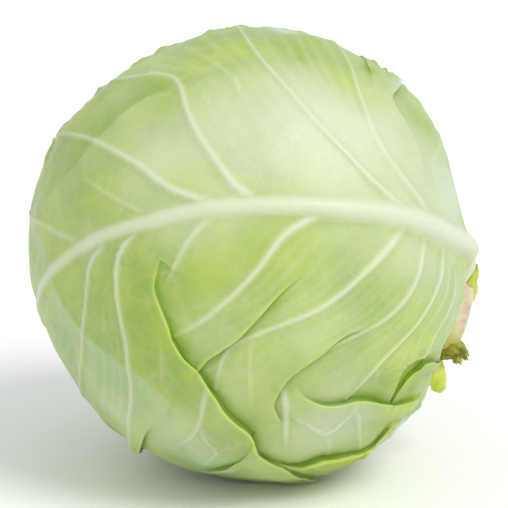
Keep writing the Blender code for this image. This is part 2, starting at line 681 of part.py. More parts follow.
def main():
    clear_scene()
    bpy.context.scene.unit_settings.system = "METRIC"
    leaf_green = make_material("outer_leaf", (0.42, 0.56, 0.20), 0.42)
    heart_green = make_material("heart_leaf", (0.60, 0.70, 0.36), 0.45)
    stem_cream = make_material("stem", (0.74, 0.68, 0.46), 0.60)
    scrap_green = make_material("torn_leaf", (0.55, 0.60, 0.10), 0.50)
    scrap_brown = make_material("dried_leaf", (0.22, 0.18, 0.05), 0.80)

    leaves = [make_front_leaf()]
    for number, (name, centre, outline, bow, lift) in enumerate(OTHER_LEAVES):
        leaves.append(make_other_leaf(name, centre, outline, bow, lift, 11 + number))
    leaves.reverse()
    for index, leaf in enumerate(leaves):
        front = leaf.name == "leaf_front"
        build_leaf(leaves, index, 6.5 if front else 10.0, 9.5 if front else 10.5, leaf_green)
    build_heart(leaves, heart_green)
    build_stem(stem_cream)
    build_scrap("torn_leaf_upper", -56, 85.0, 91.8, 6.4, 1.6, 1.2, scrap_green)
    build_scrap("dried_leaf_base", 48, 85.6, 93.2, 5.0, 3.0, 2.5, scrap_brown)
    build_leaflet("torn_leaf_lower", (438, 359, -19), (441, 391, -14), 3.4, 1.4, 1.0, scrap_green)


main()
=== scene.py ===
# A green cabbage head lying on its side: waxy outer leaves with pale veins and creased
# folds, its cut stem and the torn leaf bases round it
import math

import bmesh
import bpy
import numpy as np
from mathutils import Matrix, Vector


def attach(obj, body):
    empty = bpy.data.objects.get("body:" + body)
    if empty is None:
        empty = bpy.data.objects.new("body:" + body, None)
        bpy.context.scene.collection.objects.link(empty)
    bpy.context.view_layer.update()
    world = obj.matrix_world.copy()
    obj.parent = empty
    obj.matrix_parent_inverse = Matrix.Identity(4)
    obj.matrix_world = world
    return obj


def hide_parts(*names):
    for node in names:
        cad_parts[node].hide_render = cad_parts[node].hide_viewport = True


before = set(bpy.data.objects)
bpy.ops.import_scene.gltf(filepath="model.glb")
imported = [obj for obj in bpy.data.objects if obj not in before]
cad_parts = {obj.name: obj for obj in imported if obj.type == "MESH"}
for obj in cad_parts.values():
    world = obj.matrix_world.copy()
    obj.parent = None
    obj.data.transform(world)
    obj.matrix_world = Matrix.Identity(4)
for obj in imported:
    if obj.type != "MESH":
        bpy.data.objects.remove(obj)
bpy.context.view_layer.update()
print("frame loaded:", ", ".join(sorted(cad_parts)))

mm = 0.001  # everything below is in millimetres round the head's centre until it becomes a mesh

# The front view looks down by this tilt. Routes drawn in it are in steps right and down
# from a corner, and centre is where the head's centre shows.
view = {
    "tilt": 15.0,
    "distance": 1200.0,
    "step": 0.392,
    "centre": (246.0, 254.0),
    "across": 508,
}
tilt = math.radians(view["tilt"])
right = np.array((1.0, 0.0, 0.0))
up = np.array((0.0, math.sin(tilt), math.cos(tilt)))
toward = np.array((0.0, -math.cos(tilt), math.sin(tilt)))


def seen(x, y, z):
    way = x * right + y * up + z * toward
    return way / np.linalg.norm(way)


stemAxis = seen(0.925, -0.272, -0.265)

head = {
    "radius": 89.5,
    "apexFlattening": 4.0,
    "stemEndHollow": 6.0,
    "stemEndHollowSpread": 24.0,  # degrees
    "centreHeight": 86.6,  # above the floor
    "leafThickness": 1.1,
    "leafGap": 1.3,
    "drapeWidth": 13.0,  # how far outside a leaf's edge the next one starts to rise over it
    "pressedFlat": 0.85,  # share of its rib height that a leaf loses under another
    "leafBaseCone": 12.0,  # degrees round the stem that the leaves leave free
    "lumps": (  # way, spread in degrees, height
        (seen(-0.82, -0.57, 0.10), 30, -4.6),
        (seen(-0.42, 0.90, 0.05), 20, -1.8),
        (seen(-0.78, 0.62, 0.05), 16, 1.6),
        (seen(0.66, 0.75, 0.00), 22, 1.6),
        (seen(0.95, 0.28, 0.00), 18, -4.4),
        (seen(0.52, -0.85, 0.00), 24, 1.8),
        (seen(-0.10, -0.99, 0.00), 20, -2.2),
        (seen(0.30, 0.40, 0.86), 40, 1.0),
        (seen(0.50, 0.87, 0.00), 14, -2.0),
        (seen(-0.68, 0.73, 0.00), 10, -2.4),
        (seen(0.99, 0.14, 0.00), 5, -2.6),
        (seen(-0.47, -0.88, 0.00), 7, -2.4),
        (seen(0.88, -0.43, 0.15), 8.5, -4.6),
        (seen(0.98, -0.14, 0.12), 5, -2.6),
    ),
}

# The outermost leaf. Its outline is degrees out from the front view's axis, by degrees round
# it from the right. A rib is its route, its height and its half width at each end, and a vein
# also says how clearly it shows.
frontLeaf = {
    "node": "leaf_front",
    "lift": 1.8,
    "seed": 3,
    "meshAcross": 186,
    "innerAcross": 60,
    "veinDetail": 2.2,
    "outline": (
        (-176, 107), (-150, 104), (-128, 98), (-110, 91), (-88, 90), (-76, 89), (-66, 90),
        (-58, 87), (-54, 79), (-50, 74), (-46, 75), (-43, 86), (-39, 79), (-33, 84), (-27, 91),
        (-16, 92), (-6, 91), (4, 95), (14, 98), (40, 99), (70, 101), (100, 103), (140, 106),
    ),
    "midrib": (
        ((470, 286), (473, 270), (467, 254), (454, 239), (430, 226), (395, 215), (350, 209), (300, 206),
         (250, 206), (200, 210), (150, 222), (100, 238), (62, 262), (40, 294), (22, 330)),
        (4.6, 0.9), (7.6, 2.4),
    ),
    "veins": (
        (((82, 243), (60, 233), (45, 224), (30, 214), (-5, 195)), (1.1, 0.7), (1.7, 1.2), 0.5),
        (((212, 204), (170, 188), (140, 166), (108, 148), (96, 142), (80, 137), (60, 136), (20, 128)),
         (1.3, 0.8), (2.5, 1.1), 0.85),
        (((258, 200), (236, 186), (216, 160), (198, 133), (187, 108), (183, 92), (175, 79), (158, 76),
          (138, 78), (119, 81), (95, 92)), (1.2, 0.8), (2.1, 1.2), 0.9),
        (((405, 210), (370, 178), (340, 146), (318, 123), (300, 103), (283, 84), (268, 68), (250, 45),
          (232, 26), (215, -15)), (0.8, 0.8), (1.3, 1.1), 0.85),
        (((428, 214), (402, 178), (382, 148), (370, 124), (361, 100), (353, 76), (342, 52), (330, 15)),
         (1.0, 0.7), (2.0, 1.2), 0.65),
        (((446, 222), (438, 190), (434, 160), (436, 130), (445, 95)), (0.6, 0.4), (1.6, 1.1), 0.3),
        (((106, 243), (92, 265), (88, 300), (85, 340), (82, 378), (62, 420)),
         (1.1, 0.7), (1.7, 1.1), 0.7),
        (((138, 232), (121, 255), (118, 290), (122, 318), (129, 352), (132, 400), (138, 446)),
         (1.2, 0.8), (1.8, 1.2), 0.85),
        (((212, 217), (190, 240), (175, 268), (163, 292)), (1.0, 0.7), (2.1, 1.4), 0.65),
        (((322, 213), (285, 235), (262, 265), (238, 291), (205, 319), (173, 337)),
         (1.3, 0.9), (2.5, 1.6), 0.9),
        (((402, 230), (365, 272), (322, 307), (262, 332), (228, 350), (215, 388)),
         (1.3, 0.8), (2.2, 1.4), 0.9),
        (((424, 240), (413, 284), (389, 315), (356, 335), (325, 350), (296, 370)),
         (1.2, 0.8), (1.9, 1.2), 0.8),
        (((442, 252), (438, 282), (415, 325), (380, 361), (346, 399)), (1.2, 0.8), (1.8, 1.1), 0.95),
        (((455, 272), (450, 302), (428, 343), (404, 372)), (1.1, 0.8), (1.6, 1.0), 0.95),
        (((464, 292), (459, 318), (446, 341), (431, 362)), (1.1, 0.8), (1.5, 1.0), 0.95),
        (((282, 384), (284, 396), (286, 414), (285, 446)), (1.0, 0.6), (2.3, 1.2), 1.0),
        (((352, 404), (342, 422), (326, 433), (305, 423), (286, 413)), (0.8, 0.6), (1.7, 1.1), 0.8),
        (((352, 404), (358, 422), (359, 448)), (0.8, 0.5), (1.6, 1.0), 0.6),
        (((326, 433), (329, 444), (328, 455)), (0.6, 0.4), (1.4, 1.0), 0.5),
        (((251, 338), (250, 372), (251, 406)), (0.5, 0.4), (1.4, 1.0), 0.3),
        (((207, 383), (202, 415), (193, 434), (176, 446)), (0.8, 0.5), (1.8, 1.0), 0.7),
        (((201, 423), (208, 440), (217, 450), (203, 465)), (0.7, 0.5), (1.5, 1.0), 0.55),
        (((217, 450), (228, 444), (243, 436)), (0.6, 0.3), (1.4, 0.9), 0.4),
        (((239, 98), (237, 82), (220, 69), (200, 58)), (0.5, 0.4), (1.3, 0.9), 0.35),
        (((146, 214), (124, 203), (102, 190), (80, 174)), (0.6, 0.5), (1.4, 1.0), 0.45),
        (((163, 345), (164, 370), (162, 392)), (0.4, 0.3), (1.3, 1.0), 0.3),
        (((448, 262), (445, 292), (423, 332), (394, 366)), (0.6, 0.4), (1.2, 0.8), 0.5),
        (((460, 282), (455, 310), (438, 343), (418, 368)), (0.6, 0.4), (1.1, 0.8), 0.5),
    ),
    # Faint streaks run between these pairs of neighbouring veins, numbered as above from 0
    "fans": ((2, 3), (3, 4), (6, 7), (9, 10), (10, 11), (11, 12), (12, 13), (13, 14)),
    # Folds: the route has the raised side on its right hand; height at both ends and
    # between, how far back the raised side slopes down, and how strong the painted highlight on its lip
    # is
    "folds": (
        (((172, 268), (162, 260), (157, 274), (155, 288), (160, 304), (168, 324), (175, 343), (184, 358),
          (197, 369), (206, 382), (215, 395), (225, 410), (236, 421), (248, 430), (254, 441), (258, 452),
          (270, 461), (284, 467), (298, 475), (312, 482), (330, 500)), (0.3, 3.0, 1.2), 20.0, 0.75),
        (((306, 272), (292, 283), (279, 294), (265, 307), (250, 323), (236, 337), (222, 347), (208, 357),
          (199, 368)), (0.0, 2.3, 1.7), 12.0, 0.55),
        (((366, 328), (350, 332), (335, 340), (322, 350), (308, 359), (294, 370), (283, 382), (276, 395),
          (273, 405), (278, 416)), (0.2, 2.0, 0.9), 9.0, 0.35),
        (((296, 387), (303, 396), (314, 402), (326, 405), (338, 404), (350, 400), (364, 399), (380, 402),
          (396, 404), (410, 399)), (0.1, 2.8, 1.6), 12.0, 0.45),
        (((430, 352), (416, 355), (403, 361), (396, 372), (392, 386), (388, 400)),
         (0.8, 2.8, 1.0), 9.0, 0.25),
        (((391, 403), (397, 392), (406, 379), (416, 370), (427, 362), (437, 355)),
         (0.8, 2.2, 1.0), 6.0, 0.4),
        (((382, 56), (390, 61), (397, 68), (400, 77), (399, 85), (395, 91), (391, 97), (395, 107),
          (402, 118), (409, 130), (416, 145), (423, 165), (430, 190)), (1.2, 1.2, 0.0), 6.0, 0.0),
        (((374, 92), (372, 78), (368, 66), (362, 55)), (0.0, 0.7, 0.5), 4.0, 0.0),
        (((155, 422), (147, 431), (142, 441), (138, 455)), (0.0, 1.8, 2.6), 8.0, 0.2),
        (((200, 470), (214, 469), (229, 465), (240, 459), (247, 450), (253, 438)),
         (0.3, 1.9, 0.4), 7.0, 0.1),
        (((259, 453), (270, 460), (284, 464), (298, 465), (311, 461), (322, 457), (336, 456), (350, 452),
          (362, 450), (374, 443), (386, 430)), (0.2, 2.3, 1.2), 6.0, 0.4),
    ),
    # Soft ridges that break the blade into flats: route, height, spread
    "ridges": (
        (((43, 207), (60, 188), (78, 166), (97, 143)), 1.7, 8.0),
        (((97, 143), (122, 118), (150, 99), (168, 91), (178, 80)), 1.3, 9.0),
        (((50, 268), (60, 295), (78, 322), (100, 345), (140, 373), (172, 402)), 1.0, 9.0),
        (((146, 442), (165, 433), (185, 431), (205, 440), (216, 449)), 1.2, 6.0),
        (((92, 301), (99, 291), (106, 279)), 0.8, 4.0),
        (((140, 320), (148, 310), (156, 301)), 0.6, 4.0),
        (((165, 418), (172, 401), (180, 385)), 0.9, 5.0),
        (((138, 261), (150, 257), (162, 258), (173, 268)), 0.8, 5.0),
        (((300, 30), (296, 45), (301, 62)), 0.9, 5.0),
        (((262, 215), (256, 235), (250, 262)), 0.5, 7.0),
        (((400, 105), (408, 124), (416, 145), (422, 168)), 0.9, 3.0),
        (((303, 34), (318, 42), (333, 52)), 0.8, 4.0),
        (((335, 58), (345, 74), (352, 92)), 0.6, 4.0),
        (((375, 62), (380, 74), (379, 88)), 0.8, 3.0),
        (((60, 136), (72, 150), (86, 160)), 0.7, 5.0),
        (((104, 90), (112, 104), (126, 112)), 0.7, 5.0),
        (((147, 60), (156, 74), (170, 84)), 0.6, 5.0),
        (((250, 300), (262, 316), (280, 322)), 0.4, 6.0),
        (((355, 352), (340, 372), (318, 392)), 0.5, 5.0),
        (((405, 340), (388, 358), (366, 380)), 0.6, 4.0),
        (((212, 400), (222, 424), (226, 442)), 0.6, 6.0),
        (((330, 242), (315, 261), (298, 279)), 0.6, 5.0),
        (((345, 345), (330, 362), (306, 380)), 0.7, 7.0),
        (((424, 372), (414, 392), (402, 412)), 0.6, 4.0),
    ),
    # Frills on a margin: route, height, wavelength, how far from the route they run
    "frills": (
        (((46, 160), (60, 135), (75, 112), (100, 92), (120, 78), (147, 58), (180, 40), (230, 26),
          (262, 22)), 0.8, 15.0, 7.0),
        (((40, 190), (60, 135), (100, 92), (150, 56), (230, 26)), 0.35, 6.5, 4.0),
        (((300, 472), (318, 467), (338, 463), (358, 458), (376, 448)), 1.0, 5.6, 3.4),
        (((362, 54), (374, 58), (386, 64), (398, 74)), 0.6, 4.6, 3.2),
        (((404, 82), (425, 108), (441, 128), (451, 156)), 0.45, 8.0, 4.0),
        (((30, 200), (38, 270), (60, 330), (90, 375), (128, 418)), 0.3, 9.0, 5.0),
    ),
    # Tints: place in the front view, spread in mm, strength
    # pale tissue, and painted light on the facets that face the light
    "pale": (
        ((335, 140), 34, 0.92), ((410, 170), 30, 0.9), ((250, 150), 24, 0.6), ((290, 90), 18, 0.4),
        ((430, 236), 20, 0.75), ((165, 165), 18, 0.95), ((385, 250), 18, 0.05), ((388, 110), 14, 0.45),
        ((245, 390), 14, 0.2), ((320, 222), 16, 0.35), ((215, 110), 14, 0.35), ((440, 300), 16, 0.12),
        ((330, 425), 18, 0.75), ((150, 165), 16, 0.35), ((92, 243), 9, 0.5), ((180, 225), 10, 0.25),
        ((448, 195), 13, 0.7), ((122, 100), 12, 0.3), ((180, 432), 12, 0.45), ((345, 385), 10, 0.35),
        ((200, 330), 12, 0.2),
        ((215, 215), 16, 0.6), ((70, 180), 12, 0.25),
    ),
    # waxy bloom, and painted sheen near the leaf's outline and on the lower-left facets
    "bloom": (
        ((110, 395), 22, 0.4), ((150, 425), 18, 0.4), ((150, 60), 12, 0.25),
        ((330, 435), 18, 0.3), ((205, 455), 12, 0.5), ((250, 35), 10, 0.3), ((285, 32), 8, 0.5),
        ((420, 395), 8, 0.4), ((457, 296), 9, 0.5), ((445, 310), 16, 0.3), ((270, 475), 12, 0.3),
        ((320, 330), 14, 0.7),
        ((450, 190), 12, 0.8),
    ),
    "lime": (
        ((404, 382), 4, 0.8), ((340, 464), 7, 0.6), ((310, 471), 6, 0.4), ((368, 452), 6, 0.6),
        ((232, 52), 9, 0.5), ((80, 115), 10, 0.5), ((210, 275), 12, 0.4), ((315, 320), 9, 0.3),
        ((420, 330), 12, 0.25), ((300, 240), 14, 0.45), ((172, 338), 5, 0.6), ((368, 95), 8, 0.4),
        ((420, 120), 8, 0.3), ((185, 180), 12, 0.3), ((403, 408), 4, 0.5), ((190, 372), 3, 0.8),
        ((300, 45), 12, 0.35), ((130, 300), 14, 0.25), ((110, 190), 14, 0.3), ((340, 80), 8, 0.5),
        ((270, 250), 12, 0.3), ((395, 405), 6, 0.5), ((406, 369), 3.0, 0.9), ((399, 383), 2.2, 0.9),
        ((330, 461), 4.0, 1.0), ((355, 455), 4.0, 0.9), ((300, 468), 3.5, 0.8), ((430, 322), 8, 0.35),
        ((453, 333), 3.5, 0.8), ((461, 287), 3.0, 0.8), ((329, 456), 3.0, 0.8),
    ),
    # deeper green tissue, and painted shade in the pockets, the hollows and under the folds
    "deep": (
        ((85, 150), 10, 0.3), ((300, 48), 12, 0.5), ((369, 70), 4, 0.9), ((160, 95), 12, 0.3),
        ((140, 325), 16, 0.35), ((300, 60), 2.0, 0.8), ((411, 390), 1.6, 0.9), ((395, 92), 2, 0.6),
        ((410, 112), 8, 0.4), ((245, 255), 18, 0.2), ((100, 285), 14, 0.3), ((170, 290), 10, 0.3),
        ((188, 352), 4, 0.9), ((230, 40), 12, 0.3), ((330, 455), 6, 0.3), ((270, 312), 6, 0.5),
        ((385, 300), 14, 0.3), ((155, 350), 14, 0.25), ((45, 272), 8, 0.3),
        ((110, 125), 7, 0.4), ((345, 66), 8, 0.35), ((430, 130), 8, 0.3), ((406, 369), 2.6, 0.8),
        ((418, 351), 2.4, 0.5), ((399, 384), 1.6, 0.7), ((330, 461), 2.0, 0.7),
        ((427, 318), 8, 0.25), ((329, 456), 2.0, 0.6),
    ),
    # whitish bloom, and painted highlights on the curled lip and along the top and right edges
    "frost": (
        ((441, 128), 3, 0.6), ((450, 200), 14, 0.3), ((282, 31), 5, 0.6), ((400, 84), 2.4, 0.7),
        ((118, 412), 10, 0.25), ((205, 460), 8, 0.25),
    ),
    "margin": (),
    # Tints along one side of a route: tint, route, side (1 right hand), fade in mm, strength
    "sides": (
        # painted shade on the facet that turns away from the light beyond the upper-left ridge
        ("deep", ((43, 207), (60, 188), (78, 166), (97, 143), (122, 118), (150, 99), (168, 91),
                  (178, 80)), -1, 26.0, 0.72),
        # painted light on the facet that faces the light beside the upper-left ridge
        ("pale", ((78, 166), (97, 143), (122, 118), (150, 99), (168, 91)), 1, 14.0, 0.35),
        # painted sheen along the top and left edges and on the lower-left facets
        ("bloom", ((95, 92), (119, 81), (138, 78), (158, 76), (175, 78)), -1, 9.0, 0.6),
        ("bloom", ((38, 228), (47, 257), (42, 288)), 1, 8.0, 0.55),
        ("frost", ((36, 224), (46, 257), (41, 290)), 1, 3.0, 0.2),
        ("bloom", ((50, 268), (60, 295), (78, 322), (100, 345), (140, 373), (172, 402), (188, 428)),
         1, 24.0, 0.75),
        ("deep", ((50, 268), (60, 295), (78, 322), (100, 345), (140, 373), (172, 402)), -1, 8.0, 0.25),
        ("bloom", ((146, 442), (165, 433), (185, 431), (205, 440), (216, 449)), 1, 9.0, 0.6),
        # painted shade in the pocket and under the folds' lips, and the midrib's painted shadow line
        ("deep", ((345, 400), (364, 399), (380, 402), (394, 403)), -1, 5.5, 1.0),
        ("deep", ((430, 353), (416, 356), (403, 362), (396, 373), (392, 387), (388, 401)), -1, 5.0, 1.0),
        ("lime", ((394, 397), (397, 392), (406, 379), (416, 370), (427, 362)), -1, 6.0, 1.0),
        ("deep", ((397, 392), (406, 379), (416, 370), (427, 362)), -1, 4.0, 0.9),
        ("frost", ((382, 56), (390, 61), (397, 68), (400, 77), (399, 85), (395, 91), (391, 97)),
         1, 2.2, 0.75),
        ("frost", ((262, 27), (280, 32), (300, 37)), -1, 3.0, 0.7),
        ("frost", ((440, 116), (445, 132), (450, 152)), -1, 2.0, 0.6),
        ("deep", ((270, 461), (284, 465), (298, 466), (311, 462), (322, 458), (336, 457)), -1, 4.0, 0.9),
        ("margin", ((292, 468), (304, 465), (311, 462), (322, 457), (336, 456), (350, 452), (362, 450),
                    (376, 441), (388, 428)), 1, 9.0, 1.0),
        ("margin", ((380, 404), (396, 406), (408, 402), (416, 392)), 1, 3.0, 0.7),
        ("deep", ((174, 343), (183, 357), (196, 368)), -1, 4.5, 0.9),
        ("deep", ((157, 276), (156, 290), (161, 305), (169, 325)), -1, 2.5, 0.6),
        ("deep", ((212, 204), (170, 188), (140, 166), (108, 148)), -1, 5.0, 0.4),
        ("deep", ((215, 395), (225, 410), (236, 421), (248, 430), (254, 441), (258, 452)), -1, 3.0, 0.7),
        ("deep", ((350, 333), (335, 341), (322, 351)), -1, 4.5, 0.5),
        ("deep", ((318, 125), (340, 148), (368, 179), (390, 202)), 1, 1.6, 0.6),
        ("deep", ((250, 216), (330, 220), (400, 229), (430, 242), (452, 262)), 1, 3.0, 0.45),
        ("deep", ((92, 303), (99, 292), (106, 279)), 1, 1.6, 0.6),
        ("deep", ((140, 321), (148, 310), (156, 301)), 1, 1.4, 0.5),
        ("deep", ((165, 418), (172, 401), (180, 385)), 1, 1.8, 0.6),
        ("deep", ((345, 58), (352, 78), (360, 100), (369, 122)), 1, 3.0, 0.35),
        ("lime", ((352, 345), (330, 352), (310, 362)), 1, 6.0, 0.35),
        ("lime", ((306, 272), (279, 294), (250, 323), (222, 347)), -1, 2.0, 0.5),
    ),
}

# The other leaves from the outermost in: centre way, reach in degrees by degrees round it
# from the stem side, the midrib's sideways bow and the lift of its edge
otherLeaves = (
    {
        "node": "leaf_under",
        "centre": seen(-0.16, -0.84, -0.52),
        "outline": ((0, 66), (24, 69), (50, 73), (80, 71), (115, 66), (150, 70), (180, 74), (-150, 71),
                    (-115, 74), (-80, 76), (-50, 74), (-24, 70)),
        "bow": 9.0,
        "lift": 2.6,
        "seed": 11,
        "pale": (((405, 418), 16, 1.0),),
        "frost": (((404, 420), 15, 0.75),),
    },
    {
        "node": "leaf_top",
        "centre": seen(-0.10, 0.86, -0.50),
        "outline": ((0, 80), (22, 84), (50, 78), (80, 72), (115, 74), (150, 70), (180, 67), (-150, 70),
                    (-115, 72), (-80, 70), (-50, 74), (-22, 80)),
        "bow": -8.0,
        "lift": 2.2,
        "seed": 12,
    },
    {
        "node": "leaf_back",
        "centre": seen(-0.30, -0.04, -0.95),
        "outline": ((0, 70), (26, 74), (55, 71), (90, 66), (130, 67), (180, 70), (-130, 66), (-90, 64),
                    (-55, 70), (-26, 74)),
        "bow": 6.0,
        "lift": 0.8,
        "seed": 13,
    },
)
otherRibs = {
    "midrib": ((4.0, 0.9), (6.0, 1.6)),  # heights and widths at its base and tip
    "vein": ((1.0, 0.5), (2.2, 1.1)),
    "pairs": 6,
    "staggered": ((1, 0.25), (-1, 0.6)),  # the hand, and how late in its pair the vein leaves
    "turn": (38, 118),  # degrees from the stem's side at the midrib's base, and more at its tip
}
otherMesh = {"meshAcross": 150, "innerAcross": 48, "veinDetail": 2.0}
# Soft patches of tint on them: strength, contrast, level, seed, longest and shortest in mm
otherPatches = {
    "bloom": (1.0, 0.4, 0.3, 30, 120, 60),
    "lime": (0.35, 1.0, -0.3, 31, 60, 30),
    "deep": (0.5, 1.0, -0.2, 32, 110, 50),
}
# Every leaf's rib rises to its full height within these mm. It is a narrow ridge and a broad
# tent: how far the tent reaches in rib widths, and the share of the height in either. Its pale
# line is this many rib widths wide and fades by this much to the tip. A side vein's line has a
# halo (strength, widths) and a line of painted shade on either side (how far out, how wide)
ribRise = 14.0
ribForms = {
    "midrib": {"reach": 2.1, "ridge": 0.72, "tent": 0.34, "line": 0.76, "fade": 0.3},
    "vein": {"reach": 4.5, "ridge": 0.62, "tent": 0.55, "line": 0.52, "fade": 0.45,
             "halo": (0.16, 1.7), "veinSideShade": (1.25, 0.55)},
}
# Waves are given as strength, seed, longest and shortest in mm
leafForm = {
    "notches": ((0.7, 11), (0.45, 23)),  # of the outline: degrees deep, how many round it
    "liftWidth": 16.0,  # mm in from the edge
    "liftWaves": (0.55, 0.45, 7),  # level, swing and how many round it
    "liftFromStem": (16, 25),  # degrees from the stem to where it starts, and on to its full height
    "foldDetail": (4.2, 2.3),  # mm round the folds in which the mesh is split again
    "waves": ((0.38, 0, 34, 17), (0.14, 50, 15, 8)),
    "ruffle": (0.5, 90, 16, 9),
    "ruffleWidth": 14.0,  # mm in from the edge
    "least": 0.7,  # thickness
    "roundedEdge": 0.3,
    # the rim is a paler margin along the leaf's edge, partly painted highlight in the lip's colour
    "rimWidth": 5.0,  # of the paler margin
}
twigs = {
    "every": 15.0,
    "length": (9.0, 17.0),
    "lean": 52.0,  # degrees from the vein
    "height": 0.12,
    "width": 0.8,
    "shown": 0.17,
}
streaks = {
    "shares": (0.17, 0.34, 0.50, 0.66, 0.83),  # of the way from one vein to the next
    "reach": (0.10, 0.96),  # where they start and end along the veins
    "height": 0.34,
    "width": 1.2,
    "shown": 0.18,
}
tones = ("pale", "bloom", "lime", "deep", "frost", "margin")

# The cut stem: distances are along it from the head's centre
stem = {
    "root": 70.0,
    "top": 91.0,
    "cone": 11.4,  # degrees
    "widest": 17.0,
    "taper": 0.12,
    "taperFrom": 84.0,
    "around": 120,
    "rows": 54,
    "scarDepth": 0.9,
    "scarsFrom": 84.0,
    "roundedEdge": 0.9,
    "dish": 0.4,
    "ring": (0.68, 0.08, 0.22),  # the hard ring's place as a share of the radius, width, height
    "pith": (0.52, 0.04, 0.35),  # where the sunken pith ends, how softly, and its depth
    "seed": 60,
    "fibres": (0.16, 1, 26.0, 8.0, 24),  # strength, seed, longest, shortest and how many
    "lumps": (0.22, 2, 45.0, 20.0, 16),
    "sawn": (0.10, 3, 22.0, 6.0, 12),
}

# Small leaves and dried leaf bases round the stem, each a strip in the front view: its middle
# line with depth towards the viewer, half widths along it, the way it faces, its thickness,
# how far its edges curl back, how ragged its margin is, and its colours
flaps = (
    {
        "node": "torn_leaf_upper",
        "slot": "torn_leaf",
        "line": ((477, 264, -21), (475, 273, -18), (472, 282, -15), (470, 291, -13), (469, 299, -13)),
        "halfWidths": (0.3, 1.4, 3.0, 3.5, 2.6),
        "facing": (0.25, 0.30, 0.90),
        "thickness": 0.8,
        "curl": 0.10,
        "ragged": (0.35, 0.5),
        "seed": 41,
        "colours": ((0.47, 0.50, 0.06), (0.33, 0.42, 0.04), (0.66, 0.66, 0.30)),
        "roughness": 0.5,
    },
    {
        "node": "torn_leaf_lower",
        "slot": "torn_leaf",
        "line": ((437, 357, -19), (438, 367, -16), (438, 377, -14.5), (438, 387, -14), (436, 392, -14.5)),
        "halfWidths": (1.6, 2.9, 3.6, 3.3, 1.9),
        "facing": (0.15, -0.10, 1.0),
        "thickness": 0.7,
        "curl": 0.04,
        "ragged": (0.05, 0.12),
        "seed": 43,
        "colours": ((0.49, 0.55, 0.035), (0.38, 0.46, 0.02), (0.74, 0.76, 0.30)),
        "roughness": 0.42,
    },
    {
        "node": "dried_leaf_base",
        "slot": "dried_leaf",
        "line": ((437, 359, -17), (445, 355, -15), (453, 353, -13), (460, 354, -13), (465, 360, -14)),
        "halfWidths": (1.8, 3.4, 4.8, 4.3, 2.4),
        "facing": (0.1, -0.45, 0.9),
        "thickness": 1.2,
        "curl": 0.05,
        "ragged": (0.75, 1.6),
        "seed": 47,
        "colours": ((0.40, 0.33, 0.040), (0.150, 0.165, 0.012), (0.38, 0.38, 0.10)),
        "roughness": 0.8,
    },
)
flapMesh = {"across": 46, "along": 64}


def ease(share):
    share = np.clip(share, 0.0, 1.0)
    return share * share * (3.0 - 2.0 * share)


def bell(away, width):
    # 1 in the middle, and next to nothing two widths away
    return np.exp(-((away / width) ** 2))


def angleFrom(ways, axis):
    return np.degrees(np.arccos(np.clip(ways @ axis, -1, 1)))


def eachUnit(ways):
    return ways / np.maximum(np.linalg.norm(ways, axis=1, keepdims=True), 1e-9)


def onBall(points):
    return head["radius"] * points / np.linalg.norm(points, axis=1, keepdims=True)


def pathAt(path, knots, share):
    # A place on a path of points, or one column for each of several shares along it
    return np.array([np.interp(share, knots, path[:, i]) for i in range(3)])


def headSurface(ways):
    # The outermost surface's distance from the centre, before ribs and folds
    distance = head["radius"] - head["apexFlattening"] * np.clip(-(ways @ stemAxis), 0, 1) ** 2
    hollow = head["stemEndHollow"] * bell(angleFrom(ways, stemAxis), head["stemEndHollowSpread"])
    distance = distance - hollow
    for way, spread, height in head["lumps"]:
        distance = distance + height * bell(angleFrom(ways, way), spread)
    return distance


def fromFront(x, y):
    # The way to a place in the front view. One outside the head lies past its rim.
    across = (x - view["centre"][0]) * view["step"]
    above = (view["centre"][1] - y) * view["step"]
    out = max(math.hypot(across, above), 1e-6)
    rimWay = (across * right + above * up) / out
    rim = float(headSurface(rimWay[None])[0])
    edge = rim * view["distance"] / math.sqrt(view["distance"] ** 2 - rim**2)
    rimAngle = math.acos(rim / view["distance"])
    if out >= edge:
        angle = rimAngle + (out - edge) / rim
    else:
        angle = math.asin(out / edge)
        for _ in range(12):
            way = math.cos(angle) * toward + math.sin(angle) * rimWay
            far = float(headSurface(way[None])[0])
            depth = 1.0 - far * math.cos(angle) / view["distance"]
            angle = 0.5 * (angle + min(math.asin(min(out * depth / far, 1.0)), rimAngle))
    return math.cos(angle) * toward + math.sin(angle) * rimWay


def smoothRoute(ways, spacing=3.0):
    # A smooth curve through the ways, as points on a ball of the head's radius
    knots = np.array([2 * ways[0] - ways[1], *ways, 2 * ways[-1] - ways[-2]])
    points = []
    for before, start, end, after in zip(knots, knots[1:], knots[2:], knots[3:]):
        parts = max(2, round(head["radius"] * float(np.linalg.norm(end - start)) / spacing))
        for t in np.arange(parts) / parts:
            points.append(
                0.5 * (2 * start + (end - before) * t
                       + (2 * before - 5 * start + 4 * end - after) * t**2
                       + (3 * start - before - 3 * end + after) * t**3)
            )
    points.append(knots[-2])
    return onBall(np.array(points))


def drawnRoute(places, spacing=3.0):
    # A route on the head from its places in the front view
    return smoothRoute([fromFront(x, y) for x, y in places], spacing)


def routeLength(route):
    return np.linalg.norm(np.diff(route, axis=0), axis=1).sum()


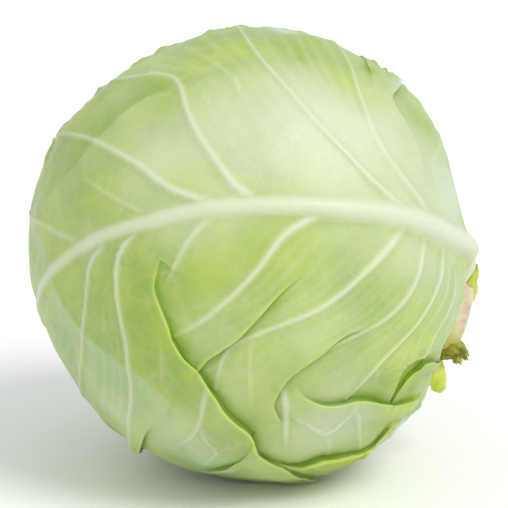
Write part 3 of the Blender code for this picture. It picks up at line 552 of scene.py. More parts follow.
def nearRoute(ways, route, within):
    # Which ways are near a route, and for those: their distance from it, the share along
    # it, the signed distance (positive on its right hand) and the way across it
    middle = route.mean(axis=0)
    middle = middle / np.linalg.norm(middle)
    widest = np.arccos(np.clip(route @ middle / head["radius"], -1, 1)).max() + within / head["radius"]
    picked = np.flatnonzero(ways @ middle > math.cos(min(widest, math.pi)))
    here = head["radius"] * ways[picked]
    starts, runs = route[:-1], np.diff(route, axis=0)
    lengths = np.linalg.norm(runs, axis=1)
    before = np.concatenate([[0.0], np.cumsum(lengths)])
    best = np.full(len(picked), 1e9)
    along, gap, run = np.zeros(len(picked)), np.zeros((len(picked), 3)), np.zeros((len(picked), 3))
    for number, (start, step, length) in enumerate(zip(starts, runs, lengths)):
        offset = here - start
        share = np.clip(offset @ step / length**2, 0, 1)
        offset = offset - share[:, None] * step
        far = (offset**2).sum(1)
        closer = far < best
        best = np.where(closer, far, best)
        along = np.where(closer, (before[number] + share * length) / before[-1], along)
        gap[closer], run[closer] = offset[closer], step
    distance = np.sqrt(best)
    rightHand = eachUnit(np.cross(run, ways[picked]))
    signed = np.where((gap * rightHand).sum(1) >= 0, distance, -distance)
    return picked, distance, along, signed, rightHand


def betweenRoutes(one, other, share, count=26):
    # A route that runs between two others, at this share of the way across
    at = np.linspace(*streaks["reach"], count)
    near, far = (pathAt(route, np.linspace(0, 1, len(route)), at).T for route in (one, other))
    return onBall((1 - share) * near + share * far)


def curveBetween(start, middle, end, count=6):
    t = np.linspace(0, 1, count)[:, None]
    return (1 - t) ** 2 * start + 2 * t * (1 - t) * middle + t**2 * end


# A leaf is a rounded patch of the head with its own layer over the leaves inside it


def polar(leaf, ways):
    away = np.arccos(np.clip(ways @ leaf["centre"], -1, 1))
    return away, np.degrees(np.arctan2(ways @ leaf["upward"], ways @ leaf["across"]))


def fromPolar(leaf, away, turn):
    turn = np.radians(turn)
    ways = np.cos(away)[:, None] * leaf["centre"]
    ways = ways + (np.sin(away) * np.cos(turn))[:, None] * leaf["across"]
    return ways + (np.sin(away) * np.sin(turn))[:, None] * leaf["upward"]


def unplane(leaf, flat):
    # Ways from flat coordinates in millimetres that keep areas true
    out = np.hypot(flat[:, 0], flat[:, 1])
    away = 2 * np.arcsin(np.clip(out / (2 * head["radius"]), 0, 1))
    return fromPolar(leaf, away, np.degrees(np.arctan2(flat[:, 1], flat[:, 0])))


def stemLimit(leaf, turn):
    # How far the leaf may reach at a turn before it would meet the stem
    cone = math.radians(head["leafBaseCone"])
    stemAway, stemTurn = polar(leaf, stemAxis[None])
    off = np.radians(turn - stemTurn[0])
    beside = np.arcsin(np.clip(np.sin(stemAway) * np.sin(off), -1, 1))
    along = np.arctan2(np.sin(stemAway) * np.cos(off), np.cos(stemAway))
    meets = (np.abs(beside) < cone) & (np.cos(off) > 0)
    half = np.arccos(np.clip(math.cos(cone) / np.cos(beside), -1, 1))
    return np.where(meets, along - half, math.pi)


def reach(leaf, turn):
    # How far the leaf reaches from its centre at a turn round it, in radians
    turns = np.array([t for t, _ in leaf["outline"]])
    reaches = np.array([r for _, r in leaf["outline"]])
    turn = (np.asarray(turn) - turns[0]) % 360.0
    knots = np.append(turns - turns[0], 360.0)
    ends = np.append(reaches, reaches[0])
    last = np.clip(np.searchsorted(knots, turn, side="right"), 1, len(turns))
    share = ease((turn - knots[last - 1]) / (knots[last] - knots[last - 1]))
    degrees = ends[last - 1] + (ends[last] - ends[last - 1]) * share
    around = np.radians(turn)
    for (depth, count), phase in zip(leafForm["notches"], leaf["waves"]):
        degrees = degrees + depth * np.sin(count * around + phase)
    return np.minimum(np.radians(degrees), stemLimit(leaf, turn + turns[0]))


def insideEdge(leaf, ways):
    away, turn = polar(leaf, ways)
    return head["radius"] * (reach(leaf, turn) - away)


def edgeLift(leaf, ways, inside):
    _, turn = polar(leaf, ways)
    level, swing, count = leafForm["liftWaves"]
    wave = level + swing * np.sin(np.radians(turn) * count + leaf["waves"][2])
    start, further = leafForm["liftFromStem"]
    clearOfStem = ease((angleFrom(ways, stemAxis) - start) / further)
    return leaf["lift"] * wave * ease(1 - inside / leafForm["liftWidth"]) ** 2 * clearOfStem


def ribHeight(along, length, ends):
    return (ends[0] + (ends[1] - ends[0]) * ease(along * 1.15)) * ease(0.35 + along * length / ribRise)


def ribWidth(along, ends):
    return ends[0] + (ends[1] - ends[0]) * along**0.7


def plainRelief(leaf, ways, wider):
    # The ribs as broad ridges, which show through the leaf that lies over them
    height = np.zeros(len(ways))
    for route, heights, widths, _ in leaf["ribs"]:
        picked, distance, along, _, _ = nearRoute(ways, route, wider * widths[0] + 1)
        width = wider * ribWidth(along, widths)
        tall = ribHeight(along, routeLength(route), heights)
        ridge = tall * np.clip(1 - (distance / width) ** 2, 0, 1) ** 1.4
        height[picked] = np.maximum(height[picked], ridge)
    return height


def undulation(ways, seed, longest, shortest, count=16):
    # Smooth waves in all directions, between -1 and 1 or so
    chance = np.random.default_rng(seed)
    height = np.zeros(len(ways))
    for _ in range(count):
        axis = chance.normal(size=3)
        axis /= np.linalg.norm(axis)
        length = chance.uniform(shortest, longest)
        height += np.sin(2 * math.pi * head["radius"] / length * (ways @ axis) + chance.uniform(0, 6.28))
    return height / math.sqrt(count)


def rolling(ways, firstSeed, form):
    strength, seed, *rest = form
    return strength * undulation(ways, firstSeed + seed, *rest)


def leafRelief(leaf, ways):
    # Ribs, the tents that they hold up, twigs and soft ridges: height, vein colour and the
    # painted shade line beside the veins
    ridge, tent, colour, beside = (np.zeros(len(ways)) for _ in range(4))
    for number, (route, heights, widths, clear) in enumerate(leaf["ribs"]):
        form = ribForms["vein" if number else "midrib"]
        picked, distance, along, _, _ = nearRoute(ways, route, form["reach"] * widths[0] + 2)
        length = routeLength(route)
        width = ribWidth(along, widths)
        tall = ribHeight(along, length, heights)
        crest = tall * form["ridge"] * np.clip(1 - (distance / width) ** 2, 0, 1) ** 1.5
        slopes = tall * form["tent"] * bell(distance, form["reach"] * 0.5 * width)
        if number == 0:
            shown = np.exp(-((distance / (form["line"] * width)) ** 4)) * (1.0 - form["fade"] * along)
        else:
            faint, broader = form["halo"]
            shown = bell(distance, form["line"] * width) + faint * bell(distance, broader * width)
            shown = clear * np.clip(shown, 0, 1) * (1.0 - form["fade"] * along)
            shown = shown * ease(0.25 + along * length / 12) * ease(0.1 + (1 - along) * length / 14)
            off, narrow = form["veinSideShade"]
            veinSideShade = clear * bell(distance - off * width, narrow * width) * (1.0 - 0.5 * along)
            beside[picked] = np.maximum(beside[picked], veinSideShade)
        ridge[picked] = np.maximum(ridge[picked], crest)
        tent[picked] = np.maximum(tent[picked], slopes)
        colour[picked] = np.maximum(colour[picked], shown)
    for route in leaf["twigs"]:
        picked, distance, along, _, _ = nearRoute(ways, route, 3)
        shown = bell(distance, twigs["width"]) * (1.0 - 0.8 * along)
        ridge[picked] = np.maximum(ridge[picked], twigs["height"] * shown)
        colour[picked] = np.maximum(colour[picked], twigs["shown"] * shown)
    for route in leaf.get("streaks", ()):
        picked, distance, along, _, _ = nearRoute(ways, route, 3 * streaks["width"])
        shown = bell(distance, streaks["width"]) * np.sin(math.pi * along) ** 0.7
        tent[picked] += streaks["height"] * shown
        colour[picked] = np.maximum(colour[picked], streaks["shown"] * shown)
    for places, height, spread in leaf.get("ridges", ()):
        picked, distance, along, _, _ = nearRoute(ways, drawnRoute(places), 3 * spread)
        ends = np.sin(math.pi * np.clip(along, 0.02, 0.98)) ** 0.5
        tent[picked] += height * np.exp(-distance / spread * 1.6) * ends
    for places, height, wavelength, breadth in leaf.get("frills", ()):
        route = drawnRoute(places)
        picked, distance, along, _, _ = nearRoute(ways, route, 3 * breadth)
        turns = 2 * math.pi * along * routeLength(route) / wavelength
        wave = np.sin(turns + 1.3 * np.sin(0.37 * turns))
        tent[picked] += height * wave * bell(distance, breadth)
    return ridge + tent, colour, beside


# A fold in section, by millimetres from its lip: height as a share, and sideways shift
foldSection = {
    "at": (-5.0, -2.6, -1.5, -1.05, -0.7, -0.42, -0.15, 0.1, 0.45, 1.1, 2.6, 6.0),
    "rise": (0.0, -0.10, -0.16, -0.14, -0.04, 0.22, 0.62, 0.90, 1.03, 1.03, 0.98, 0.0),
    "shift": (0.0, 0.0, 0.0, 0.35, 0.85, 0.85, -0.25, -1.0, -1.2, -0.9, -0.45, 0.0),
}


def pastEnds(distance, signed):
    # How far a way lies beyond the ends of its route
    return np.sqrt(np.clip(distance**2 - signed**2, 0, None))


def foldShape(leaf, ways):
    # The folds' height, their sideways shift, and where the painted highlight on their lips and the
    # painted shade in their creases go
    rise, fall = np.zeros(len(ways)), np.zeros(len(ways))
    shift = np.zeros((len(ways), 3))
    lipHighlight, creaseShade = np.zeros(len(ways)), np.zeros(len(ways))
    for places, heights, slope, lipHighlightStrength in leaf.get("folds", ()):
        route = drawnRoute(places, 2.0)
        picked, distance, along, signed, across = nearRoute(ways, route, slope + 5)
        tall = np.interp(along, (0.0, 0.45, 1.0), heights) * bell(pastEnds(distance, signed), 2.5)
        section = np.interp(signed, foldSection["at"], foldSection["rise"])
        section = np.where(signed > 2.6, 0.98 * (1 - ease((signed - 2.6) / (slope - 2.6))), section)
        rise[picked] = np.maximum(rise[picked], tall * np.clip(section, 0, None))
        fall[picked] = np.minimum(fall[picked], tall * np.clip(section, None, 0))
        sideways = np.interp(signed, foldSection["at"], foldSection["shift"]) * np.clip(tall / 2.0, 0, 1)
        shift[picked] += sideways[:, None] * across
        strong = np.clip(tall / 1.4, 0, 1)
        # painted highlight along each fold's raised lip
        lipHighlight[picked] = np.maximum(lipHighlight[picked], lipHighlightStrength * strong * bell(signed - 0.45, 0.7))
        # painted shade in the crease on the low side of the lip
        shade = np.maximum(bell(signed + 0.95, 0.7), 0.42 * bell(signed + 0.9, 2.6) * (signed < 0))
        creaseShade[picked] = np.maximum(creaseShade[picked], strong * shade)
    return rise + fall, shift, lipHighlight, creaseShade


def softLow(a, b, soft=0.4):
    # The lower of two, blended where they are close
    low = np.minimum(a, b)
    return low - soft * np.log1p(np.exp(-np.abs(a - b) / soft))


def layers(leaves, index, ways):
    # The surface under a leaf, what shows of it, and how far it may come down
    inside = [insideEdge(leaf, ways) for leaf in leaves]
    drape = head["drapeWidth"]
    covers = [ease((edge + drape) / (drape - 1.0)) for edge in inside]
    pitch = head["leafGap"] + head["leafThickness"]
    over = pitch * np.sum(covers, axis=0)
    down = np.maximum(-ways[:, 2], 1e-6)
    top = np.minimum(headSurface(ways) - over, (head["centreHeight"] - over) / down)
    for number in range(index + 1):
        over = over - pitch * covers[number]
        limit = (head["centreHeight"] - over) / down
        pressed = np.max([0.0 * over, *covers[number + 1:]], axis=0)
        shown = 1.0 - head["pressedFlat"] * pressed
        lift = edgeLift(leaves[number], ways, inside[number]) * shown
        if number == index:
            return top + head["leafGap"] + lift, shown, limit, inside[number]
        layer = pitch + lift + shown * plainRelief(leaves[number], ways, 1.7)
        top = np.minimum(top + covers[number] * layer, limit)


def tint(ways, spots):
    amount = np.zeros(len(ways))
    for (x, y), spread, strength in spots:
        off = head["radius"] * np.arccos(np.clip(ways @ fromFront(x, y), -1, 1))
        amount = 1 - (1 - amount) * (1 - strength * bell(off, spread))
    return amount


def besideRoute(ways, places, side, fade):
    # Strong just past a route on one side of it, and fading away from it
    picked, distance, along, signed, _ = nearRoute(ways, drawnRoute(places), 3 * fade)
    past = side * signed
    shade = ease(past / 1.6 + 0.4) * np.exp(-np.clip(past, 0, None) / fade * 1.2)
    shade = shade * bell(pastEnds(distance, signed), 4.0)
    amount = np.zeros(len(ways))
    amount[picked] = shade * ease(6 * along + 0.2) * ease(6 * (1 - along) + 0.2)
    return amount


def leafTint(ways, name):
    # A tint of the front leaf from its places and its sides of routes together
    amount = tint(ways, frontLeaf[name])
    for tone, places, side, fade, strength in frontLeaf["sides"]:
        if tone == name:
            amount = 1 - (1 - amount) * (1 - strength * besideRoute(ways, places, side, fade))
    return amount


def squareToDisc(x, y):
    return x * math.sqrt(1 - y * y / 2), y * math.sqrt(1 - x * x / 2)


def spreadGrid(bm, leaf, count, side, sideLayer):
    # Adds a square grid and spreads it over the leaf, flat for now: x and y are
    # millimetres out from the leaf's centre along the head. Only near its edge does the grid
    # follow the outline's notches.
    made = bmesh.ops.create_grid(bm, x_segments=count, y_segments=count, size=1.0)["verts"]
    discs = np.array([squareToDisc(vert.co.x, vert.co.y) for vert in made])
    turn = np.degrees(np.arctan2(discs[:, 1], discs[:, 0]))
    share = np.hypot(discs[:, 0], discs[:, 1])
    smooth = np.mean([reach(leaf, turn + off) for off in np.linspace(-24, 24, 13)], axis=0)
    out = share * (smooth + (reach(leaf, turn) - smooth) * share**4) * head["radius"]
    for vert, far, angle in zip(made, out, np.radians(turn)):
        vert.co = (far * math.cos(angle), far * math.sin(angle), 0.0)
        vert[sideLayer] = side
    return made


def flatWays(leaf, verts):
    flat = np.array([(vert.co.x, vert.co.y) for vert in verts])
    away = np.hypot(flat[:, 0], flat[:, 1]) / head["radius"]
    return fromPolar(leaf, away, np.degrees(np.arctan2(flat[:, 1], flat[:, 0])))


def finerNear(bm, leaf, routes, within):
    # Splits the faces near some routes, so that narrow forms there come out smooth
    bm.verts.ensure_lookup_table()
    ways = flatWays(leaf, bm.verts)
    close = np.zeros(len(ways), bool)
    for route in routes:
        picked, distance, _, _, _ = nearRoute(ways, route, within + 1)
        close[picked[distance < within]] = True
    edges = [edge for edge in bm.edges if all(close[vert.index] for vert in edge.verts)]
    if edges:
        bmesh.ops.subdivide_edges(bm, edges=edges, cuts=1, use_grid_fill=True)


def mendFlat(bm):
    # Splitting leaves a few faces that overlap: they and their neighbours are filled anew
    uneven = [face for face in bm.faces if len(face.verts) > 4]
    bmesh.ops.triangulate(bm, faces=uneven, ngon_method="BEAUTY")
    for _ in range(3):
        bm.normal_update()
        bad = [face for face in bm.faces if face.normal.z < 0.5 or face.calc_area() < 1e-4]
        if not bad:
            return
        around = {near for face in bad for vert in face.verts for near in vert.link_faces}
        border = [edge for face in around for edge in face.edges
                  if sum(near in around for near in edge.link_faces) == 1 and len(edge.link_faces) == 2]
        bmesh.ops.delete(bm, geom=list(around), context="FACES")
        bmesh.ops.triangle_fill(bm, edges=list(set(border)), use_beauty=True, normal=(0, 0, 1))
    print("faces still overlapping:", len(bad))


def meshObject(name, bm, material, node):
    # A finished piece in the row's frame, in place of its CAD node
    bmesh.ops.scale(bm, vec=(mm, mm, mm), verts=bm.verts)
    bmesh.ops.translate(bm, vec=(0, 0, head["centreHeight"] * mm), verts=bm.verts)
    mesh = bpy.data.meshes.new(name)
    bm.to_mesh(mesh)
    bm.free()
    mesh.shade_smooth()
    mesh.materials.append(material)
    piece = bpy.data.objects.new(name, mesh)
    bpy.context.scene.collection.objects.link(piece)
    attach(piece, "root")
    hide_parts(node)
    print(node, "triangles", sum(len(face.vertices) - 2 for face in mesh.polygons))
    return piece


def addMasks(piece, masks):
    for name, mask in masks.items():
        layer = piece.data.attributes.new(name, "FLOAT", "POINT")
        layer.data.foreach_set("value", np.asarray(mask, np.float32))


def growLeaf(leaves, index, material):
    # A leaf as one closed shell: a fine outer face, a rounded edge and a plainer inner face
    leaf = leaves[index]
    bm = bmesh.new()
    side = bm.verts.layers.int.new("side")  # 0 outer face, 1 edge, 2 inner face
    spreadGrid(bm, leaf, leaf["meshAcross"], 0, side)
    foldRoutes = [drawnRoute(fold[0]) for fold in leaf.get("folds", ())]
    for within in leafForm["foldDetail"]:
        finerNear(bm, leaf, foldRoutes, within)
    finerNear(bm, leaf, [route for route, _, _, _ in leaf["ribs"][1:]], leaf["veinDetail"])
    mendFlat(bm)
    rimEdges = [edge for edge in bm.edges if edge.is_boundary]
    rim = bmesh.ops.extrude_edge_only(bm, edges=rimEdges)["geom"]
    for vert in rim:
        if isinstance(vert, bmesh.types.BMVert):
            vert[side] = 1
    inner = spreadGrid(bm, leaf, leaf["innerAcross"], 2, side)
    bmesh.ops.reverse_faces(bm, faces=list({face for vert in inner for face in vert.link_faces}))

    bm.verts.index_update()
    ways = flatWays(leaf, bm.verts)
    sides = np.array([vert[side] for vert in bm.verts])
    under, shown, limit, inside = layers(leaves, index, ways)
    height, veins, beside = leafRelief(leaf, ways)
    folds, shift, lipHighlight, creaseShade = foldShape(leaf, ways)
    waves = sum(rolling(ways, leaf["seed"], form) for form in leafForm["waves"])
    nearEdge = 1 - ease(inside / leafForm["ruffleWidth"])
    ruffle = rolling(ways, leaf["seed"], leafForm["ruffle"]) * nearEdge
    outer = under + head["leafThickness"] + shown * (height + 0.5 * waves) + folds
    outer = np.maximum(outer + shown * ruffle, under + leafForm["least"])
    outer = softLow(outer, limit)
    under = np.minimum(under, limit - head["leafThickness"])
    distance = np.where(sides == 0, outer, np.where(sides == 1, 0.5 * (outer + under), under))
    places = ways * distance[:, None] + np.where(sides[:, None] == 0, shift, 0.0)
    outward = leafForm["roundedEdge"] * eachUnit(ways - leaf["centre"])
    places = places + np.where(sides[:, None] == 1, outward, 0.0)
    places[:, 2] = np.maximum(places[:, 2], -head["centreHeight"] + 0.02)
    for vert, place in zip(bm.verts, places):
        vert.co = place
    loops = [edge for edge in bm.edges if edge.is_boundary]
    bmesh.ops.bridge_loops(bm, edges=loops)
    bmesh.ops.recalc_face_normals(bm, faces=bm.faces)
    piece = meshObject(leaf["node"] + "_fine", bm, material, leaf["node"])
    addMasks(piece, {
        "vein": veins,
        # painted shade beside the veins
        "beside": beside,
        "lipHighlight": lipHighlight,
        "creaseShade": creaseShade,
        "rim": 1 - ease(inside / leafForm["rimWidth"]),
        **{tone: leaf["tintAt"](tone, ways) for tone in tones},
    })


def sproutTwigs(leaf):
    # Small veins that leave the side veins on both hands
    chance = np.random.default_rng(leaf["seed"] + 7)
    leaf["twigs"] = []
    for route, _, _, _ in leaf["ribs"][1:]:
        steps = np.linalg.norm(np.diff(route, axis=0), axis=1)
        travelled = np.concatenate([[0.0], np.cumsum(steps)])
        at = chance.uniform(6, 12)
        while at < travelled[-1] - 5:
            start = pathAt(route, travelled, at)
            ahead = pathAt(route, travelled, at + 2) - start
            ahead /= np.linalg.norm(ahead)
            beside = np.cross(ahead, start / np.linalg.norm(start))
            for hand in (1, -1):
                lean = math.radians(twigs["lean"] + chance.uniform(-14, 14))
                length = chance.uniform(*twigs["length"])
                out = math.cos(lean) * ahead + math.sin(lean) * hand * beside
                bend = start + 0.55 * length * out + chance.uniform(-2, 2) * ahead
                end = start + length * out + chance.uniform(-1, 5) * ahead
                leaf["twigs"].append(onBall(curveBetween(start, bend, end)))
            at += twigs["every"] * chance.uniform(0.7, 1.4)


def readyLeaf(look, centre, across):
    leaf = dict(look)
    leaf["centre"] = centre
    across = across - centre * float(across @ centre)
    leaf["across"] = across / np.linalg.norm(across)
    leaf["upward"] = np.cross(centre, leaf["across"])
    leaf["outline"] = sorted(look["outline"])
    leaf["waves"] = np.random.default_rng(look["seed"]).uniform(0, 2 * math.pi, 3)
    leaf["ribs"] = []
    return leaf


def readyFrontLeaf():
    leaf = readyLeaf(frontLeaf, toward, right)
    for places, heights, widths, shown in ((*frontLeaf["midrib"], 1.0), *frontLeaf["veins"]):
        leaf["ribs"].append((drawnRoute(places), heights, widths, shown))
    sproutTwigs(leaf)
    veins = [route for route, _, _, _ in leaf["ribs"][1:]]
    chance = np.random.default_rng(leaf["seed"] + 11)
    leaf["streaks"] = []
    for first, second in frontLeaf["fans"]:
        for share in streaks["shares"]:
            wander = chance.uniform(-0.05, 0.05)
            leaf["streaks"].append(betweenRoutes(veins[first], veins[second], share + wander))
    leaf["tintAt"] = lambda tone, ways: leafTint(ways, tone)
    return leaf


def readyOtherLeaf(look):
    # The midrib runs from the stem through the leaf's centre, with side veins in pairs
    leaf = readyLeaf({**look, **otherMesh}, look["centre"], stemAxis)

    def flatReach(turn):
        return 2 * head["radius"] * math.sin(float(reach(leaf, np.array([turn]))[0]) / 2)

    base = flatReach(0.0) - 1.0
    tip = -0.9 * flatReach(180.0)
    shares = np.linspace(0, 1, 9)
    spine = np.stack([base + (tip - base) * shares, look["bow"] * np.sin(math.pi * shares)], 1)
    leaf["ribs"].append((smoothRoute(unplane(leaf, spine)), *otherRibs["midrib"], 1.0))
    for pair in range(otherRibs["pairs"]):
        for hand, later in otherRibs["staggered"]:
            share = (pair + later) / (otherRibs["pairs"] + 0.8)
            root = np.array([np.interp(share, shares, spine[:, i]) for i in range(2)])
            turn = hand * (otherRibs["turn"][0] + otherRibs["turn"][1] * share)
            way = np.array([math.cos(math.radians(turn)), math.sin(math.radians(turn))])
            end = 0.9 * flatReach(turn) * way
            bend = root + np.array([-0.42, 0.16 * hand]) * float(np.linalg.norm(end - root))
            route = smoothRoute(unplane(leaf, curveBetween(root, bend, end)), 4.0)
            leaf["ribs"].append((route, *otherRibs["vein"], 0.8))
    sproutTwigs(leaf)
    spine = leaf["ribs"][0][0]

    def tintAt(tone, ways):
        # Pale along the midrib and round the stem, and soft patches of the other tints
        amount = np.zeros(len(ways))
        if tone == "pale":
            picked, distance, along, _, _ = nearRoute(ways, spine, 90)
            amount[picked] = 0.8 * np.exp(-distance / 26) * (1 - 0.8 * along)
            amount = np.maximum(amount, 0.75 * bell(angleFrom(ways, stemAxis), 42))
        elif tone in otherPatches:
            strength, contrast, level, seed, longest, shortest = otherPatches[tone]
            patches = undulation(ways, look["seed"] + seed, longest, shortest)
            amount = strength * ease(level + contrast * patches)
        return np.maximum(amount, tint(ways, look.get(tone, ())))

    leaf["tintAt"] = tintAt
    return leaf


def stemRadius(height):
    cone = height * math.tan(math.radians(stem["cone"]))
    return min(cone, stem["widest"] - stem["taper"] * max(height - stem["taperFrom"], 0.0))


def frontPlace(x, y, depth):
    # A place in the front view, so far towards the viewer from the head's centre
    near = (view["distance"] - depth) / view["distance"]
    across = (x - view["centre"][0]) * view["step"] * near
    above = (view["centre"][1] - y) * view["step"] * near
    return across * right + above * up + depth * toward


def ringOnward(bm, loop):
    # One more ring of vertices out of an open loop, and the loop that it ends in
    made = bmesh.ops.extrude_edge_only(bm, edges=loop)["geom"]
    verts = [item for item in made if isinstance(item, bmesh.types.BMVert)]
    edges = [item for item in made if isinstance(item, bmesh.types.BMEdge)]
    return verts, [edge for edge in edges if edge.is_boundary]


def growStem(material):
    # The stalk ring by ring, out from inside the head to its rim and in over the cut face
    bm = bmesh.new()
    rootRadius = stemRadius(stem["root"])
    bmesh.ops.create_circle(bm, cap_ends=True, segments=stem["around"], radius=rootRadius)
    outline = []
    rounded = stem["roundedEdge"]
    for height in np.linspace(stem["root"], stem["top"] - rounded, stem["rows"]):
        outline.append((height, stemRadius(height), 0.0))
    rimRadius = stemRadius(stem["top"] - rounded)
    for turn in np.linspace(0.2, 1.0, 5) * math.pi / 2:
        height = stem["top"] - rounded * (1 - math.sin(turn))
        outline.append((height, rimRadius - rounded * (1 - math.cos(turn)), 0.3))
    faceRadius = outline[-1][1]
    ringAt, ringWidth, ringHeight = stem["ring"]
    pithEnd, pithSoft, pithDepth = stem["pith"]
    for share in np.linspace(0.96, 0.04, 24):
        # a raised ring of hard tissue round the softer, sunken pith
        height = stem["top"] - stem["dish"] * (1 - share**4)
        height += ringHeight * bell(share - ringAt, ringWidth)
        height -= pithDepth / (1 + math.exp((share - pithEnd) / pithSoft))
        outline.append((height, faceRadius * share, 1.0))

    for vert in bm.verts:
        vert.co.z = outline[0][0]
    loop = [edge for edge in bm.edges if edge.is_boundary]
    cut = {vert: 0.0 for vert in bm.verts}
    for height, radius, onFace in outline[1:]:
        verts, loop = ringOnward(bm, loop)
        for vert in verts:
            turn = math.atan2(vert.co.y, vert.co.x)
            vert.co = (radius * math.cos(turn), radius * math.sin(turn), height)
            cut[vert] = onFace
    bmesh.ops.edgeloop_fill(bm, edges=loop)
    bm.verts.index_update()
    local = np.array([vert.co for vert in bm.verts])
    turns = np.arctan2(local[:, 1], local[:, 0])
    rings = np.hypot(local[:, 0], local[:, 1])
    heights = local[:, 2]
    onFace = np.array([cut[vert] for vert in bm.verts])
    wall = np.clip((heights - stem["scarsFrom"] + 3) / 3, 0, 1) * np.clip((rings - 9) / 4, 0, 1)
    scars = np.clip(np.sin(2.5 * turns + 0.35 * (heights - 80.0)), 0, None) ** 2
    around = [np.cos(turns), np.sin(turns)]
    fibres = rolling(np.stack([*around, 0.002 * heights], 1), stem["seed"], stem["fibres"])
    lumps = rolling(np.stack([*around, heights / 15], 1), stem["seed"], stem["lumps"])
    inward = wall * (stem["scarDepth"] * scars + np.abs(fibres) - lumps)
    inward = np.where(onFace > 0.5, 0.0, inward)
    sawn = np.where(onFace > 0.5, rolling(local / 20, stem["seed"], stem["sawn"]), 0.0)
    side = np.cross(stemAxis, toward)
    side = side / np.linalg.norm(side)
    front = np.cross(side, stemAxis)
    for vert, turn, ring, height, less, raised in zip(bm.verts, turns, rings, heights, inward, sawn):
        radius = max(ring - less, 0.0)
        spot = (height + raised) * stemAxis + radius * (math.cos(turn) * side + math.sin(turn) * front)
        vert.co = spot
    bmesh.ops.recalc_face_normals(bm, faces=bm.faces)
    piece = meshObject("stem_fine", bm, material, "stem")
    addMasks(piece, {
        "cut": onFace,
        "woody": onFace * bell(rings / faceRadius - ringAt, 0.09),
        "scar": np.where(onFace > 0.5, 0.0, scars * wall),
        "green": (1 - ease((heights - 80) / 9)) + 1.1 * bell(turns - 0.75, 0.5) * (onFace < 0.5),
    })
    grain = piece.data.attributes.new("grain", "FLOAT_VECTOR", "POINT")
    along = np.stack([*(rings * across for across in around), 0.12 * heights], 1) * mm
    grain.data.foreach_set("vector", along.astype(np.float32).ravel())
    return piece


def growFlap(look, material):
    # A small strip of leaf with ragged edges, given a thickness
    points = np.array([frontPlace(*place) for place in look["line"]])
    knots = np.linspace(0, 1, len(points))
    facing = seen(*look["facing"])
    bm = bmesh.new()
    edge = bm.verts.layers.float.new("edge")
    grid = bmesh.ops.create_grid(
        bm, x_segments=flapMesh["across"], y_segments=flapMesh["along"], size=1.0)
    ragged, tattered = look["ragged"]
    chance = np.random.default_rng(look["seed"])
    shifts = chance.uniform(0, 2 * math.pi, 9)
    for vert in grid["verts"]:
        side, share = vert.co.x, 0.5 * (vert.co.y + 1)
        middle = pathAt(points, knots, share)
        later = pathAt(points, knots, min(share + 0.05, 1))
        sooner = pathAt(points, knots, max(share - 0.05, 0))
        ahead = (later - sooner) / np.linalg.norm(later - sooner)
        across = np.cross(ahead, facing)
        across /= np.linalg.norm(across)
        outward = np.cross(across, ahead)
        width = np.interp(share, knots, look["halfWidths"])
        hand = shifts[0] if side > 0 else shifts[1]
        jag = math.sin(15 * share + hand) + 0.6 * math.sin(34 * share + 2 * hand)
        width = max(width + ragged * jag * abs(side) ** 3 * math.sin(math.pi * share) ** 0.5, 0.25)
        tip = math.sin(5 * side + shifts[2]) + 0.7 * math.sin(13 * side + shifts[3])
        stretch = 0.5 * tattered * tip * (share**4 + 0.4 * (1 - share) ** 6)
        wave = 0.35 * math.sin(4 * side + 5 * share + shifts[4])
        wave += 0.15 * math.sin(11 * side - 9 * share + shifts[5])
        crumple = (0.2 + 1.3 * ragged) * wave - look["curl"] * (side * width) ** 2
        vert.co = middle + side * width * across + stretch * ahead + crumple * outward
        vert[edge] = abs(side) ** 4
    back = bmesh.ops.extrude_face_region(bm, geom=list(bm.faces), use_keep_orig=True)["geom"]
    for item in back:
        if isinstance(item, bmesh.types.BMVert):
            item.co -= Vector(look["thickness"] * (1.0 - 0.5 * item[edge]) * facing)
    bmesh.ops.recalc_face_normals(bm, faces=bm.faces)
    meshObject(look["node"] + "_fine", bm, material, look["node"])


# Materials


def nodeGroup(name, inputs, outputs):
    group = bpy.data.node_groups.new(name, "ShaderNodeTree")
    for label, default in inputs:
        socket = group.interface.new_socket(label, in_out="INPUT", socket_type="NodeSocketFloat")
        socket.default_value = default
    for label in outputs:
        group.interface.new_socket(label, in_out="OUTPUT", socket_type="NodeSocketFloat")
    return group, group.nodes.new("NodeGroupInput"), group.nodes.new("NodeGroupOutput")


def objectPlace(tree):
    return tree.nodes.new("ShaderNodeTexCoord").outputs["Object"]


def noise(tree, vector, scale, detail=3.0, roughness=0.55):
    node = tree.nodes.new("ShaderNodeTexNoise")
    node.inputs["Scale"].default_value = scale
    node.inputs["Detail"].default_value = detail
    node.inputs["Roughness"].default_value = roughness
    tree.links.new(vector, node.inputs["Vector"])
    return node.outputs["Fac"]


def ramp(tree, value, low, high):
    node = tree.nodes.new("ShaderNodeMapRange")
    node.interpolation_type = "SMOOTHSTEP"
    node.inputs["From Min"].default_value = low
    node.inputs["From Max"].default_value = high
    tree.links.new(value, node.inputs["Value"])
    return node.outputs["Result"]


def maths(tree, how, a, b):
    node = tree.nodes.new("ShaderNodeMath")
    node.operation = how
    for socket, value in zip(node.inputs, (a, b)):
        if isinstance(value, (int, float)):
            socket.default_value = value
        else:
            tree.links.new(value, socket)
    return node.outputs[0]


def mixColour(tree, amount, a, b):
    node = tree.nodes.new("ShaderNodeMix")
    node.data_type = "RGBA"
    for socket, value in ((node.inputs["Factor"], amount), (node.inputs[6], a), (node.inputs[7], b)):
        if isinstance(value, tuple):
            socket.default_value = (*value, 1.0)
        elif isinstance(value, float):
            socket.default_value = value
        else:
            tree.links.new(value, socket)
    return node.outputs[2]


